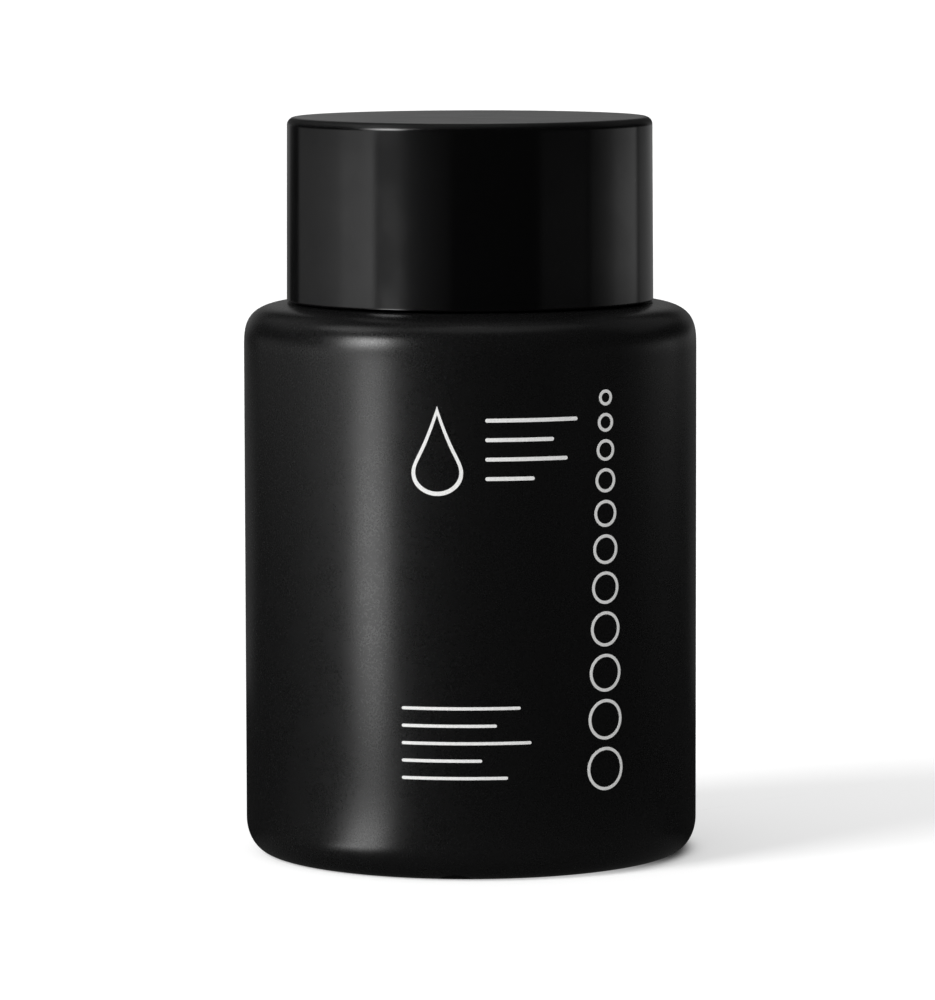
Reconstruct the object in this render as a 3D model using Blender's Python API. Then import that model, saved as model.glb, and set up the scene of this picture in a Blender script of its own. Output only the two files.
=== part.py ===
"""Sponge jar of nail polish remover, with a two-piece screw cap.

Units are metres, +Z is up and the jar stands on z = 0 with its axis on Z. Its front faces -Y.
The jar, its sponge and the remover stay put. The seal disc rises with the cap, and the cap's two
shells turn on the disc as the thread lifts them.
"""

import math

import bmesh
import bpy
from mathutils import Matrix

# Shared
FIT_GAP = 0.0003
ROUND_SEGMENTS = 48
MERGE_DISTANCE = 0.000001
SMOOTH_ANGLE = math.radians(35)

# Jar body
BODY_RADIUS = 0.0252
BODY_HEIGHT = 0.0613
BODY_WALL = 0.0014
SHOULDER_REACH = 0.0075
SHOULDER_DROP = 0.0054
SHOULDER_POWER = 3.5
SHOULDER_STEPS = 6
HEEL_REACH = 0.0026
HEEL_RISE = 0.0037
HEEL_STEPS = 4
FOOT_WIDTH = 0.0022
FOOT_BEVEL = 0.0008
BASE_THICKNESS = 0.0018
PUSH_UP = 0.0016

# Notch in the heel that locates the jar for printing
NOTCH_WIDTH = 0.0042
NOTCH_HEIGHT = 0.00065
NOTCH_FOOT_MARGIN = 0.0003
NOTCH_ANGLE = math.radians(-94.3)

# Neck
NECK_RADIUS = 0.0162
NECK_WALL = 0.0016
NECK_HEIGHT = 0.01601
NECK_FILLET = 0.0009
LIP_ROUND = 0.0005
BEAD_DEPTH = 0.0010
BEAD_WIDTH = 0.0008
BEAD_SLOPE = 0.0005
BEAD_RISE = 0.0031
CORNER_STEPS = 3

# Thread, right-handed
THREAD_LEAD = 0.0042333
THREAD_DEPTH = 0.0011
THREAD_CREST = 0.0010
THREAD_TURNS = 1.5
THREAD_BELOW_LIP = 0.0023
THREAD_FLANK = math.radians(30)
THREAD_SINK = 0.0003
THREAD_RUN_OUT = 0.09
CAP_THREAD_DEPTH = 0.0009
CAP_THREAD_CREST = 0.0008
CAP_THREAD_TURNS = 1.15
CAP_THREAD_START = 0.0012

# Seal disc and its retaining bead
SEAL_THICKNESS = 0.0012
SEAL_EDGE = 0.0002
SEAL_HOLD = 0.0003
SEAL_BEAD_WIDTH = 0.0004
SEAL_BEAD_SLOPE = 0.0004

# Cap, inner shell
INNER_WALL = 0.0008
INNER_TOP = 0.00125
INNER_HEIGHT = 0.0129
INNER_ROUND = 0.0006

# Cap, outer shell
OUTER_WALL = 0.0010
OUTER_TOP = 0.0013
OUTER_DRAFT = 0.0001
OUTER_ROUND = 0.0006
OUTER_ROUND_STEPS = 4
RIM_ROUND = 0.0002
RIM_GAP = 0.00043
SNAP_DEPTH = 0.0004
SNAP_WIDTH = 0.0008

# Ribs that lock the two shells
RIB_COUNT = 16
RIB_DEPTH = 0.0007
RIB_PLAY = 0.0006
RIB_SINK = 0.0003
RIB_TOP_MARGIN = 0.0010

# Sponge
SPONGE_GAP = 0.0004
SPONGE_BELOW_LIP = 0.0060
SPONGE_ROUND = 0.0010
FINGER_RADIUS = 0.0065
FINGER_FLOOR = 0.0100
FINGER_STEPS = 6
SLIT_COUNT = 4
SLIT_REACH = 0.0042
SLIT_WIDTH = 0.0008

# Remover below the sponge
FLUID_DEPTH = 0.0028

# Heights and radii that follow from the sizes above
LIP_HEIGHT = BODY_HEIGHT + NECK_HEIGHT
NECK_BORE = NECK_RADIUS - NECK_WALL
THREAD_RADIUS = NECK_RADIUS + THREAD_DEPTH
SEAL_BOTTOM = LIP_HEIGHT + FIT_GAP
SEAL_TOP = SEAL_BOTTOM + SEAL_THICKNESS
INNER_CEILING = SEAL_TOP + FIT_GAP
INNER_TOP_HEIGHT = INNER_CEILING + INNER_TOP
INNER_FOOT = INNER_TOP_HEIGHT - INNER_HEIGHT
INNER_BORE = THREAD_RADIUS + FIT_GAP
INNER_RADIUS = INNER_BORE + INNER_WALL
RIB_RADIUS = INNER_RADIUS + RIB_DEPTH
OUTER_BORE = RIB_RADIUS + FIT_GAP
OUTER_RADIUS = OUTER_BORE + OUTER_WALL
OUTER_CEILING = INNER_TOP_HEIGHT + FIT_GAP
OUTER_TOP_HEIGHT = OUTER_CEILING + OUTER_TOP
OUTER_FOOT = BODY_HEIGHT + RIM_GAP
SHOULDER_ROOM = BODY_RADIUS - NECK_RADIUS - NECK_FILLET
SHOULDER_IN = min(SHOULDER_REACH, SHOULDER_ROOM)
FOOT_OUTER = BODY_RADIUS - HEEL_REACH
FOOT_INNER = FOOT_OUTER - FOOT_WIDTH
RECESS_RADIUS = FOOT_INNER - FOOT_BEVEL


def clear_scene():
    """Remove every object that the scene starts with."""
    for item in list(bpy.data.objects):
        bpy.data.objects.remove(item, do_unlink=True)


def finish(name, colour, roughness, metallic=0.0):
    """Make a Principled material with a colour, a roughness and a metallic value."""
    material = bpy.data.materials.new(name)
    material.use_nodes = True
    shader = material.node_tree.nodes["Principled BSDF"]
    shader.inputs["Base Color"].default_value = (*colour, 1.0)
    shader.inputs["Roughness"].default_value = roughness
    shader.inputs["Metallic"].default_value = metallic
    return material


def place(name, bm, material=None, parent=None):
    """Turn a bmesh into a named object with outward faces and smooth round surfaces.

    A moving piece has its origin on the Z axis at the lip, where its pivot stands.
    """
    bmesh.ops.recalc_face_normals(bm, faces=bm.faces)
    mesh = bpy.data.meshes.new(name)
    bm.to_mesh(mesh)
    bm.free()
    if parent is not None:
        mesh.transform(Matrix.Translation((0.0, 0.0, -LIP_HEIGHT)))
    mesh.shade_smooth()
    mesh.set_sharp_from_angle(angle=SMOOTH_ANGLE)
    item = bpy.data.objects.new(name, mesh)
    bpy.context.collection.objects.link(item)
    item.parent = parent
    if material is not None:
        mesh.materials.append(material)
    return item


def guide(name, bm):
    """Place a bmesh that only cuts or joins another piece."""
    item = place(name, bm)
    item.hide_render = True
    item.display_type = "WIRE"
    return item


def combine(item, tool, operation):
    """Add an exact Boolean of the tool to the item."""
    modifier = item.modifiers.new(tool.name, "BOOLEAN")
    modifier.operation = operation
    modifier.solver = "EXACT"
    modifier.object = tool


def pivot(name, parent=None):
    """Make an empty on the Z axis at the lip, which carries what moves there."""
    empty = bpy.data.objects.new(name, None)
    bpy.context.collection.objects.link(empty)
    empty.parent = parent
    if parent is None:
        empty.location.z = LIP_HEIGHT
    return empty


def turned(outline):
    """Spin an outline of (radius, height) points, which starts and ends on the axis."""
    bm = bmesh.new()
    points = [bm.verts.new((radius, 0.0, height)) for radius, height in outline]
    lines = [bm.edges.new(pair) for pair in zip(points, points[1:])]
    bmesh.ops.spin(
        bm,
        geom=points + lines,
        cent=(0.0, 0.0, 0.0),
        axis=(0.0, 0.0, 1.0),
        angle=math.tau,
        steps=ROUND_SEGMENTS,
        use_merge=True,
    )
    bmesh.ops.remove_doubles(bm, verts=bm.verts, dist=MERGE_DISTANCE)
    return bm


def corner(centre_radius, centre_height, reach, rise, steps, power=2.0, falling=False):
    """Points of a quarter round, from its side to its top, or from its top to its side.

    A negative reach or rise turns the quarter over. A power above 2 makes it squarer.
    """
    points = []
    for step in range(steps + 1):
        angle = 0.5 * math.pi * step / steps
        across = math.cos(angle) ** (2.0 / power) if step < steps else 0.0
        up = math.sin(angle) ** (2.0 / power) if step else 0.0
        points.append((centre_radius + reach * across, centre_height + rise * up))
    return points[::-1] if falling else points


def jar_outside():
    """Outline from under the base, round the heel and shoulder, to the outer lip."""
    outline = [(0.0, PUSH_UP), (RECESS_RADIUS, FOOT_BEVEL), (FOOT_INNER, 0.0)]
    outline += corner(FOOT_OUTER, HEEL_RISE, HEEL_REACH, -HEEL_RISE, HEEL_STEPS, falling=True)
    shoulder = (BODY_RADIUS - SHOULDER_IN, BODY_HEIGHT - SHOULDER_DROP)
    outline += corner(*shoulder, SHOULDER_IN, SHOULDER_DROP, SHOULDER_STEPS, SHOULDER_POWER)
    fillet = (NECK_RADIUS + NECK_FILLET, BODY_HEIGHT + NECK_FILLET)
    outline += corner(*fillet, -NECK_FILLET, -NECK_FILLET, CORNER_STEPS, falling=True)
    bead = BODY_HEIGHT + BEAD_RISE
    outline += [
        (NECK_RADIUS, bead - 0.5 * BEAD_WIDTH - BEAD_SLOPE),
        (NECK_RADIUS + BEAD_DEPTH, bead - 0.5 * BEAD_WIDTH),
        (NECK_RADIUS + BEAD_DEPTH, bead + 0.5 * BEAD_WIDTH),
        (NECK_RADIUS, bead + 0.5 * BEAD_WIDTH + BEAD_SLOPE),
    ]
    lip = (NECK_RADIUS - LIP_ROUND, LIP_HEIGHT - LIP_ROUND)
    return outline + corner(*lip, LIP_ROUND, LIP_ROUND, CORNER_STEPS)


def floor_outline(gap):
    """Outline of the jar's inner floor, from its wall to the axis, held off by a gap."""
    low = BASE_THICKNESS + gap
    reach = HEEL_REACH - BODY_WALL - gap
    rise = HEEL_RISE - low
    heel = corner(FOOT_OUTER, HEEL_RISE, reach, -rise, HEEL_STEPS)
    return heel + [(RECESS_RADIUS, FOOT_BEVEL + low), (0.0, PUSH_UP + low)]


def throat_outline(gap):
    """Outline inside the jar from its bore down under the shoulder to its wall."""
    bore = NECK_BORE - gap
    ceiling = BODY_HEIGHT - BODY_WALL - gap
    fillet = NECK_FILLET + gap
    outline = corner(bore + fillet, ceiling + fillet, -fillet, -fillet, CORNER_STEPS)
    centre = (BODY_RADIUS - SHOULDER_IN, BODY_HEIGHT - SHOULDER_DROP)
    reach = SHOULDER_IN - BODY_WALL - gap
    drop = SHOULDER_DROP - BODY_WALL - gap
    shoulder = corner(*centre, reach, drop, SHOULDER_STEPS, SHOULDER_POWER, falling=True)
    return outline + shoulder


def screw_ridge(wall, depth, crest, start_turn, start_height, turns):
    """Sweep a thread ridge along the shared helix.

    A positive depth stands out from the wall, and a negative one stands in from it. The ridge
    sinks into the wall at both ends.
    """
    side = math.copysign(1.0, depth)
    root = wall - side * THREAD_SINK
    steps = round(turns * ROUND_SEGMENTS)
    bm = bmesh.new()
    rings = []
    for step in range(steps + 1):
        travelled = turns * step / steps
        run_out = min(travelled, turns - travelled) / THREAD_RUN_OUT
        fade = min(1.0, run_out)
        tip = wall + depth * fade - 0.5 * side * THREAD_SINK * (1.0 - fade)
        half_crest = 0.5 * crest
        half_root = half_crest + abs(tip - root) * math.tan(THREAD_FLANK)
        angle = math.tau * (start_turn + travelled + 0.5 / ROUND_SEGMENTS)
        height = start_height + THREAD_LEAD * travelled
        ring = []
        for radius, rise in (
            (root, -half_root),
            (tip, -half_crest),
            (tip, half_crest),
            (root, half_root),
        ):
            place_on = (radius * math.cos(angle), radius * math.sin(angle), height + rise)
            ring.append(bm.verts.new(place_on))
        rings.append(ring)
    for lower, upper in zip(rings, rings[1:]):
        for index in range(len(lower)):
            following = (index + 1) % len(lower)
            bm.faces.new((lower[index], lower[following], upper[following], upper[index]))
    bm.faces.new(rings[0])
    bm.faces.new(rings[-1])
    return bm


def rib_ring(inner, outer, low, high, offset):
    """Boxes set round the axis, which lock one shell of the cap to the other."""
    pitch = math.tau / RIB_COUNT
    middle = 0.5 * (INNER_RADIUS + OUTER_BORE)
    width = 0.5 * pitch * middle - RIB_PLAY
    size = (outer - inner, width, high - low)
    centre = (0.5 * (inner + outer), 0.0, 0.5 * (low + high))
    bm = bmesh.new()
    for index in range(RIB_COUNT):
        turn = Matrix.Rotation((index + offset) * pitch, 4, "Z")
        box = turn @ Matrix.Translation(centre) @ Matrix.Diagonal((*size, 1.0))
        bmesh.ops.create_cube(bm, size=1.0, matrix=box)
    return bm


def notch_cutter():
    """A lying drum whose top leaves a shallow arch in the heel."""
    radius = (0.25 * NOTCH_WIDTH**2 + NOTCH_HEIGHT**2) / (2.0 * NOTCH_HEIGHT)
    inner = FOOT_OUTER + NOTCH_FOOT_MARGIN
    length = BODY_RADIUS - inner
    bm = bmesh.new()
    lying = Matrix.Rotation(0.5 * math.pi, 4, "Y")
    middle = (inner + 0.5 * length, 0.0, NOTCH_HEIGHT - radius)
    turn = Matrix.Rotation(NOTCH_ANGLE, 4, "Z")
    bmesh.ops.create_cone(
        bm,
        cap_ends=True,
        segments=ROUND_SEGMENTS,
        radius1=radius,
        radius2=radius,
        depth=length,
        matrix=turn @ Matrix.Translation(middle) @ lying,
    )
    return bm


def finger_cutter(low, high):
    """A round hole with slits standing out from it, drawn once and pushed up."""
    slit_half = 0.5 * SLIT_WIDTH
    opening = math.asin(slit_half / FINGER_RADIUS)
    tip = FINGER_RADIUS + SLIT_REACH
    points = []
    for index in range(SLIT_COUNT):
        middle = math.tau * index / SLIT_COUNT
        along = (math.cos(middle), math.sin(middle))
        for side in (-1.0, 1.0):
            x = tip * along[0] - side * slit_half * along[1]
            y = tip * along[1] + side * slit_half * along[0]
            points.append((x, y, low))
        first = middle + opening
        last = middle + math.tau / SLIT_COUNT - opening
        for step in range(FINGER_STEPS + 1):
            angle = first + (last - first) * step / FINGER_STEPS
            points.append((FINGER_RADIUS * math.cos(angle), FINGER_RADIUS * math.sin(angle), low))
    bm = bmesh.new()
    face = bm.faces.new([bm.verts.new(point) for point in points])
    pushed = bmesh.ops.extrude_face_region(bm, geom=[face])["geom"]
    top = [item for item in pushed if isinstance(item, bmesh.types.BMVert)]
    bmesh.ops.translate(bm, verts=top, vec=(0.0, 0.0, high - low))
    return bm


def build_jar():
    """The jar with its neck thread and its heel notch."""
    lip = (NECK_BORE + LIP_ROUND, LIP_HEIGHT - LIP_ROUND)
    inside = corner(*lip, -LIP_ROUND, LIP_ROUND, CORNER_STEPS, falling=True)
    outline = jar_outside() + inside + throat_outline(0.0) + floor_outline(0.0)
    black = finish("jar_black_matt", (0.013, 0.013, 0.014), 0.5)
    jar = place("jar_body", turned(outline), black)
    low = LIP_HEIGHT - THREAD_BELOW_LIP - THREAD_LEAD * THREAD_TURNS
    ridge = screw_ridge(NECK_RADIUS, THREAD_DEPTH, THREAD_CREST, 0.0, low, THREAD_TURNS)
    combine(jar, guide("neck_thread_guide", ridge), "UNION")
    combine(jar, guide("heel_notch_cutter", notch_cutter()), "DIFFERENCE")


def build_sponge():
    """The foam that fills the jar above the remover, with its finger hole."""
    high = LIP_HEIGHT - SPONGE_BELOW_LIP
    low = BASE_THICKNESS + PUSH_UP + FIT_GAP + FLUID_DEPTH + FIT_GAP
    side = BODY_RADIUS - BODY_WALL - SPONGE_GAP - SPONGE_ROUND
    top = NECK_BORE - SPONGE_GAP - SPONGE_ROUND
    top_edge = (top, high - SPONGE_ROUND, SPONGE_ROUND, SPONGE_ROUND)
    low_edge = (side, low + SPONGE_ROUND, SPONGE_ROUND, -SPONGE_ROUND)
    outline = [(0.0, high)] + corner(*top_edge, CORNER_STEPS, falling=True)
    outline += throat_outline(SPONGE_GAP) + corner(*low_edge, CORNER_STEPS)
    outline.append((0.0, low))
    foam = finish("sponge_foam", (0.62, 0.60, 0.56), 0.95)
    sponge = place("sponge_insert", turned(outline), foam)
    cutter = finger_cutter(low + FINGER_FLOOR, high + SPONGE_ROUND)
    combine(sponge, guide("finger_hole_cutter", cutter), "DIFFERENCE")


def build_fluid():
    """The remover that stands between the jar's floor and the sponge."""
    surface = BASE_THICKNESS + PUSH_UP + FIT_GAP + FLUID_DEPTH
    side = BODY_RADIUS - BODY_WALL - FIT_GAP
    outline = [(0.0, surface), (side, surface)] + floor_outline(FIT_GAP)
    clear = finish("remover_clear", (0.80, 0.86, 0.90), 0.05)
    place("remover_fluid", turned(outline), clear)


def build_seal(carrier):
    """The wad that closes the mouth."""
    radius = INNER_BORE - FIT_GAP
    edge = radius - SEAL_EDGE
    outline = [
        (0.0, SEAL_TOP),
        (edge, SEAL_TOP),
        (radius, SEAL_TOP - SEAL_EDGE),
        (radius, SEAL_BOTTOM + SEAL_EDGE),
        (edge, SEAL_BOTTOM),
        (0.0, SEAL_BOTTOM),
    ]
    foam = finish("seal_foam", (0.78, 0.78, 0.76), 0.8)
    return place("seal_disc", turned(outline), foam, carrier)


def build_inner_shell(carrier):
    """The threaded cup, with ribs outside and a bead inside that holds the seal."""
    hold = INNER_BORE - FIT_GAP - SEAL_HOLD
    bead_top = SEAL_BOTTOM - FIT_GAP
    bead_low = bead_top - SEAL_BEAD_WIDTH
    outline = [(0.0, INNER_TOP_HEIGHT)]
    outline += corner(
        INNER_RADIUS - INNER_ROUND,
        INNER_TOP_HEIGHT - INNER_ROUND,
        INNER_ROUND,
        INNER_ROUND,
        CORNER_STEPS,
        falling=True,
    )
    outline += [
        (INNER_RADIUS, INNER_FOOT),
        (INNER_BORE, INNER_FOOT),
        (INNER_BORE, bead_low - SEAL_BEAD_SLOPE),
        (hold, bead_low),
        (hold, bead_top),
        (INNER_BORE, bead_top + FIT_GAP),
        (INNER_BORE, INNER_CEILING),
        (0.0, INNER_CEILING),
    ]
    white = finish("cap_inner_white", (0.70, 0.70, 0.69), 0.4)
    shell = place("cap_inner_shell", turned(outline), white, carrier)

    overlap = THREAD_RADIUS - (INNER_BORE - CAP_THREAD_DEPTH)
    spacing = 0.5 * (THREAD_CREST + CAP_THREAD_CREST) + overlap * math.tan(THREAD_FLANK)
    below = spacing + FIT_GAP / math.cos(THREAD_FLANK)
    neck_low = LIP_HEIGHT - THREAD_BELOW_LIP - THREAD_LEAD * THREAD_TURNS
    first = INNER_FOOT + CAP_THREAD_START
    start_turn = (first - (neck_low - below)) / THREAD_LEAD
    ridge = screw_ridge(
        INNER_BORE, -CAP_THREAD_DEPTH, CAP_THREAD_CREST, start_turn, first, CAP_THREAD_TURNS
    )
    combine(shell, guide("cap_thread_guide", ridge), "UNION")

    high = INNER_TOP_HEIGHT - RIB_TOP_MARGIN
    ribs = rib_ring(INNER_RADIUS - RIB_SINK, RIB_RADIUS, INNER_FOOT + FIT_GAP, high, 0.0)
    combine(shell, guide("inner_rib_guide", ribs), "UNION")


def build_outer_shell(carrier):
    """The smooth shell that is seen, with ribs and a snap ring inside."""
    top_radius = OUTER_RADIUS - OUTER_DRAFT
    snap_top = INNER_FOOT - FIT_GAP
    snap_radius = RIB_RADIUS - SNAP_DEPTH
    snap_step = OUTER_BORE - snap_radius
    outline = [(0.0, OUTER_TOP_HEIGHT)]
    outline += corner(
        top_radius - OUTER_ROUND,
        OUTER_TOP_HEIGHT - OUTER_ROUND,
        OUTER_ROUND,
        OUTER_ROUND,
        OUTER_ROUND_STEPS,
        falling=True,
    )
    outline += [
        (OUTER_RADIUS, OUTER_FOOT + RIM_ROUND),
        (OUTER_RADIUS - RIM_ROUND, OUTER_FOOT),
        (OUTER_BORE + RIM_ROUND, OUTER_FOOT),
        (OUTER_BORE, OUTER_FOOT + RIM_ROUND),
        (OUTER_BORE, snap_top - SNAP_WIDTH - snap_step),
        (snap_radius, snap_top - SNAP_WIDTH),
        (snap_radius, snap_top),
        (OUTER_BORE, snap_top),
        (OUTER_BORE, OUTER_CEILING),
        (0.0, OUTER_CEILING),
    ]
    black = finish("cap_black_satin", (0.016, 0.016, 0.017), 0.35)
    shell = place("cap_outer_shell", turned(outline), black, carrier)
    inner = INNER_RADIUS + FIT_GAP
    high = INNER_TOP_HEIGHT - RIB_TOP_MARGIN
    ribs = rib_ring(inner, OUTER_BORE + RIB_SINK, snap_top + FIT_GAP, high, 0.5)
    combine(shell, guide("outer_rib_guide", ribs), "UNION")


def main():
    """Build every piece of the jar and its cap."""
    clear_scene()
    build_jar()
    build_sponge()
    build_fluid()
    rise = pivot("cap_rise_axis")
    turn = pivot("cap_turn_axis", rise)
    build_seal(rise)
    build_inner_shell(turn)
    build_outer_shell(turn)


main()
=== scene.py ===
"""Looks of the sponge jar: fine shells, threads, foam, print, finishes and a plain white studio.

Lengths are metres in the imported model's frame: +Z is up and the printed front faces -Y. Each class
holds one sub-assembly's sizes, builds its meshes and dresses them.
"""

import logging
import math
from collections.abc import Callable
from dataclasses import dataclass, field
from enum import Enum

import bpy
import numpy as np
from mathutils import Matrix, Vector, noise


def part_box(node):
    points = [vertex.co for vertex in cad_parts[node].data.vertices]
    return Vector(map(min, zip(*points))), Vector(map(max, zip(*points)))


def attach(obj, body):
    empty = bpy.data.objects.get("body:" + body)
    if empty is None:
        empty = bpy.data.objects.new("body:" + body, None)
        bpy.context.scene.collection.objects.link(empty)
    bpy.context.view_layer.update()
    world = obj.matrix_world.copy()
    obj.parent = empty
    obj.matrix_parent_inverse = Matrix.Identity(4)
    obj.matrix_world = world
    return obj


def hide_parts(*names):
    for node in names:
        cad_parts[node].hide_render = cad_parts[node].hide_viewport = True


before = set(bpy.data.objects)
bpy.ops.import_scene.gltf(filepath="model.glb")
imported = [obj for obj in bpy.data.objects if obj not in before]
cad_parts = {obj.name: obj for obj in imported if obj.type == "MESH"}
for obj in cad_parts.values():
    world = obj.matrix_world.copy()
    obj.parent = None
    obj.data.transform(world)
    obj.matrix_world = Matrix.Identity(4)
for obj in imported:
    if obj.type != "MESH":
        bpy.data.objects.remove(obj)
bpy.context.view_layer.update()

LOG = logging.getLogger("sponge_jar")

# Sizes that several pieces share
FIT_GAP = 0.0003  # clearance between fitted pieces
THREAD_LEAD = 0.0042333  # rise of the thread in one turn
SUPPORT = 0.00008  # how far a support ring stands off a rounding
FIRST_RING = 0.001  # radius of the first ring round the axis
FLAT_PITCH = 0.004  # between rings on plain faces
CURVED_PITCH = 0.003  # between rings on faces that dip or rise
THREAD_PITCH = 0.00016  # between rings under a thread
RIB_PITCH = 0.0003  # between rings under ribs
SHARP_TURN = math.radians(40.0)  # edges that turn more than this stay sharp
SAME_POINT = 1e-7  # points closer than this are one
TINY = 1e-6  # keeps a divisor or a step off zero

Point = tuple[float, float]
Colour = tuple[float, float, float]
Relief = Callable[[np.ndarray, np.ndarray], np.ndarray]


class Body(Enum):
    """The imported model's rigid bodies."""

    JAR = "jar"
    SEAL = "seal"
    CAP = "cap"


class Slot(Enum):
    """The record's material slots."""

    JAR = "jar_black_matt"
    SPONGE = "sponge_foam"
    REMOVER = "remover_clear"
    SEAL = "seal_foam"
    CAP_INNER = "cap_inner_white"
    CAP_OUTER = "cap_black_satin"


@dataclass(frozen=True)
class NodeBox:
    """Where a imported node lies.

    Attributes:
        radius: Its largest reach from the Z axis.
        low: Its lowest height.
        high: Its highest height.
    """

    radius: float
    low: float
    high: float

    @staticmethod
    def of(node: str) -> "NodeBox":
        """Read a node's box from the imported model.

        Args:
            node: The node's name.

        Returns:
            Its reach and its heights.
        """
        low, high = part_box(node)
        return NodeBox(radius=float(high[0]), low=float(low[2]), high=float(high[2]))


def boxed(node: str) -> NodeBox:
    """A dataclass field that reads a node's box when its piece is made."""
    return field(default_factory=lambda: NodeBox.of(node))


# Outlines and meshes


@dataclass(frozen=True)
class Stretch:
    """One stretch of a turned outline.

    Attributes:
        points: Its (radius, height) points.
        relief: How far the surface stands out at (angle, height), or None.
    """

    points: list[Point]
    relief: Relief | None = None


def smooth_ramp(value: np.ndarray) -> np.ndarray:
    """Ease values from 0 to 1, level at both ends.

    Args:
        value: Any values; those outside 0 to 1 are clipped.

    Returns:
        The eased values.
    """
    clipped = np.clip(value, 0.0, 1.0)
    return clipped * clipped * (3.0 - 2.0 * clipped)


def quarter(centre: Point, reach: float, rise: float, steps: int, power: float = 2.0,
            falling: bool = False) -> list[Point]:
    """Evenly spaced points of a quarter superellipse.

    Args:
        centre: Its (radius, height) centre.
        reach: Half width; a negative one turns it to the axis.
        rise: Half height; a negative one turns it down.
        steps: How many pieces it has.
        power: 2 for an ellipse, more for a squarer corner.
        falling: Whether it runs from its top to its side.

    Returns:
        Its points.
    """
    samples = 40 * steps + 1
    angle = np.linspace(0.0, 0.5 * math.pi, samples)
    across = reach * np.clip(np.cos(angle), 0.0, 1.0) ** (2.0 / power)
    up = rise * np.sin(angle) ** (2.0 / power)
    across[-1] = 0.0
    length = np.concatenate([[0.0], np.cumsum(np.hypot(np.diff(across), np.diff(up)))])
    along = np.linspace(0.0, length[-1], steps + 1)
    radii = centre[0] + np.interp(along, length, across)
    heights = centre[1] + np.interp(along, length, up)
    points = list(zip(radii.tolist(), heights.tolist()))
    return points[::-1] if falling else points


def rows(start: Point, end: Point, pitch: float) -> list[Point]:
    """Points along a straight line at about one pitch.

    Args:
        start: First point.
        end: Last point.
        pitch: Wanted distance between points.

    Returns:
        The points, both ends included.
    """
    count = max(1, round(math.dist(start, end) / pitch))
    mix = np.linspace(0.0, 1.0, count + 1)
    radii = start[0] + mix * (end[0] - start[0])
    heights = start[1] + mix * (end[1] - start[1])
    return list(zip(radii.tolist(), heights.tolist()))


def from_axis(height: float, end: Point, pitch: float) -> list[Point]:
    """Points from the Z axis out to a rim.

    Args:
        height: Height of the face at the axis.
        end: The rim.
        pitch: Wanted distance between points.

    Returns:
        The points, both ends included.
    """
    return [(0.0, height)] + rows((FIRST_RING, height), end, pitch)


def to_axis(start: Point, pitch: float) -> list[Point]:
    """Points from a rim in to the Z axis, all at the rim's height.

    Args:
        start: The rim.
        pitch: Wanted distance between points.

    Returns:
        The points, both ends included.
    """
    return rows(start, (FIRST_RING, start[1]), pitch) + [(0.0, start[1])]


def round_grid(rings: int, segments: int) -> list[tuple[int, ...]]:
    """Faces of a grid of points that closes on itself round the axis.

    Args:
        rings: How many rings of points it has.
        segments: How many points a ring has.

    Returns:
        The corners of each face.
    """
    index = np.arange(rings * segments).reshape(rings, segments)
    turn = np.roll(index, -1, axis=1)
    quads = np.stack([index[:-1], turn[:-1], turn[1:], index[1:]], axis=2).reshape(-1, 4)
    return [tuple(quad) for quad in quads.tolist()]


def turned(name: str, stretches: list[Stretch], segments: int) -> bpy.types.Object:
    """Turn an outline that starts and ends on the Z axis into a closed smooth mesh.

    Args:
        name: The new object's name.
        stretches: The outline, in order.
        segments: How many facets go round.

    Returns:
        The new object.
    """
    angles = np.linspace(0.0, math.tau, segments, endpoint=False)[None, :]
    radii: list[np.ndarray] = []
    heights: list[np.ndarray] = []
    last: Point | None = None
    for stretch in stretches:
        kept = [p for i, p in enumerate(stretch.points)
                if i or last is None or math.dist(p, last) > SAME_POINT]
        last = stretch.points[-1]
        if not kept:
            continue
        grid = np.array(kept)
        height = np.repeat(grid[:, 1:], segments, axis=1)
        radius = np.repeat(grid[:, :1], segments, axis=1)
        if stretch.relief is not None:
            radius = radius + stretch.relief(np.repeat(angles, len(kept), axis=0), height)
        radii.append(radius)
        heights.append(height)
    radius = np.vstack(radii)
    height = np.vstack(heights)
    outline = np.stack([radius[:, 0], height[:, 0]], axis=1)
    turning = np.sum(outline[:-1, 0] * outline[1:, 1] - outline[1:, 0] * outline[:-1, 1])
    if turning < 0.0:
        radius, height = radius[::-1], height[::-1]
    rings = radius.shape[0] - 2
    x = radius[1:-1] * np.cos(angles)
    y = radius[1:-1] * np.sin(angles)
    body = np.stack([x, y, height[1:-1]], axis=2).reshape(-1, 3)
    poles = np.array([[0.0, 0.0, height[0, 0]], [0.0, 0.0, height[-1, 0]]])
    faces = round_grid(rings, segments)
    first_pole = rings * segments
    last_ring = first_pole - segments
    after = [(step + 1) % segments for step in range(segments)]
    faces += [(first_pole, after[i], i) for i in range(segments)]
    faces += [(first_pole + 1, last_ring + i, last_ring + after[i]) for i in range(segments)]
    return mesh_object(name, np.vstack([body, poles]).tolist(), faces)


def linked(name: str, data: bpy.types.ID) -> bpy.types.Object:
    """Put new data into the scene.

    Args:
        name: The new object's name.
        data: Its mesh, lamp or camera.

    Returns:
        The new object.
    """
    item = bpy.data.objects.new(name, data)
    bpy.context.scene.collection.objects.link(item)
    return item


def shade(mesh: bpy.types.Mesh) -> None:
    """Shade a mesh smooth, but for its sharp edges."""
    mesh.shade_smooth()
    mesh.set_sharp_from_angle(angle=SHARP_TURN)


def mesh_object(name: str, verts: list[list[float]],
                faces: list[tuple[int, ...]]) -> bpy.types.Object:
    """Link a new smooth-shaded mesh object.

    Args:
        name: The new object's name.
        verts: Vertex positions.
        faces: Vertex indices of each face.

    Returns:
        The new object.
    """
    mesh = bpy.data.meshes.new(name)
    mesh.from_pydata(verts, [], faces)
    mesh.validate()
    shade(mesh)
    return linked(name, mesh)


# Shader nodes


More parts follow.
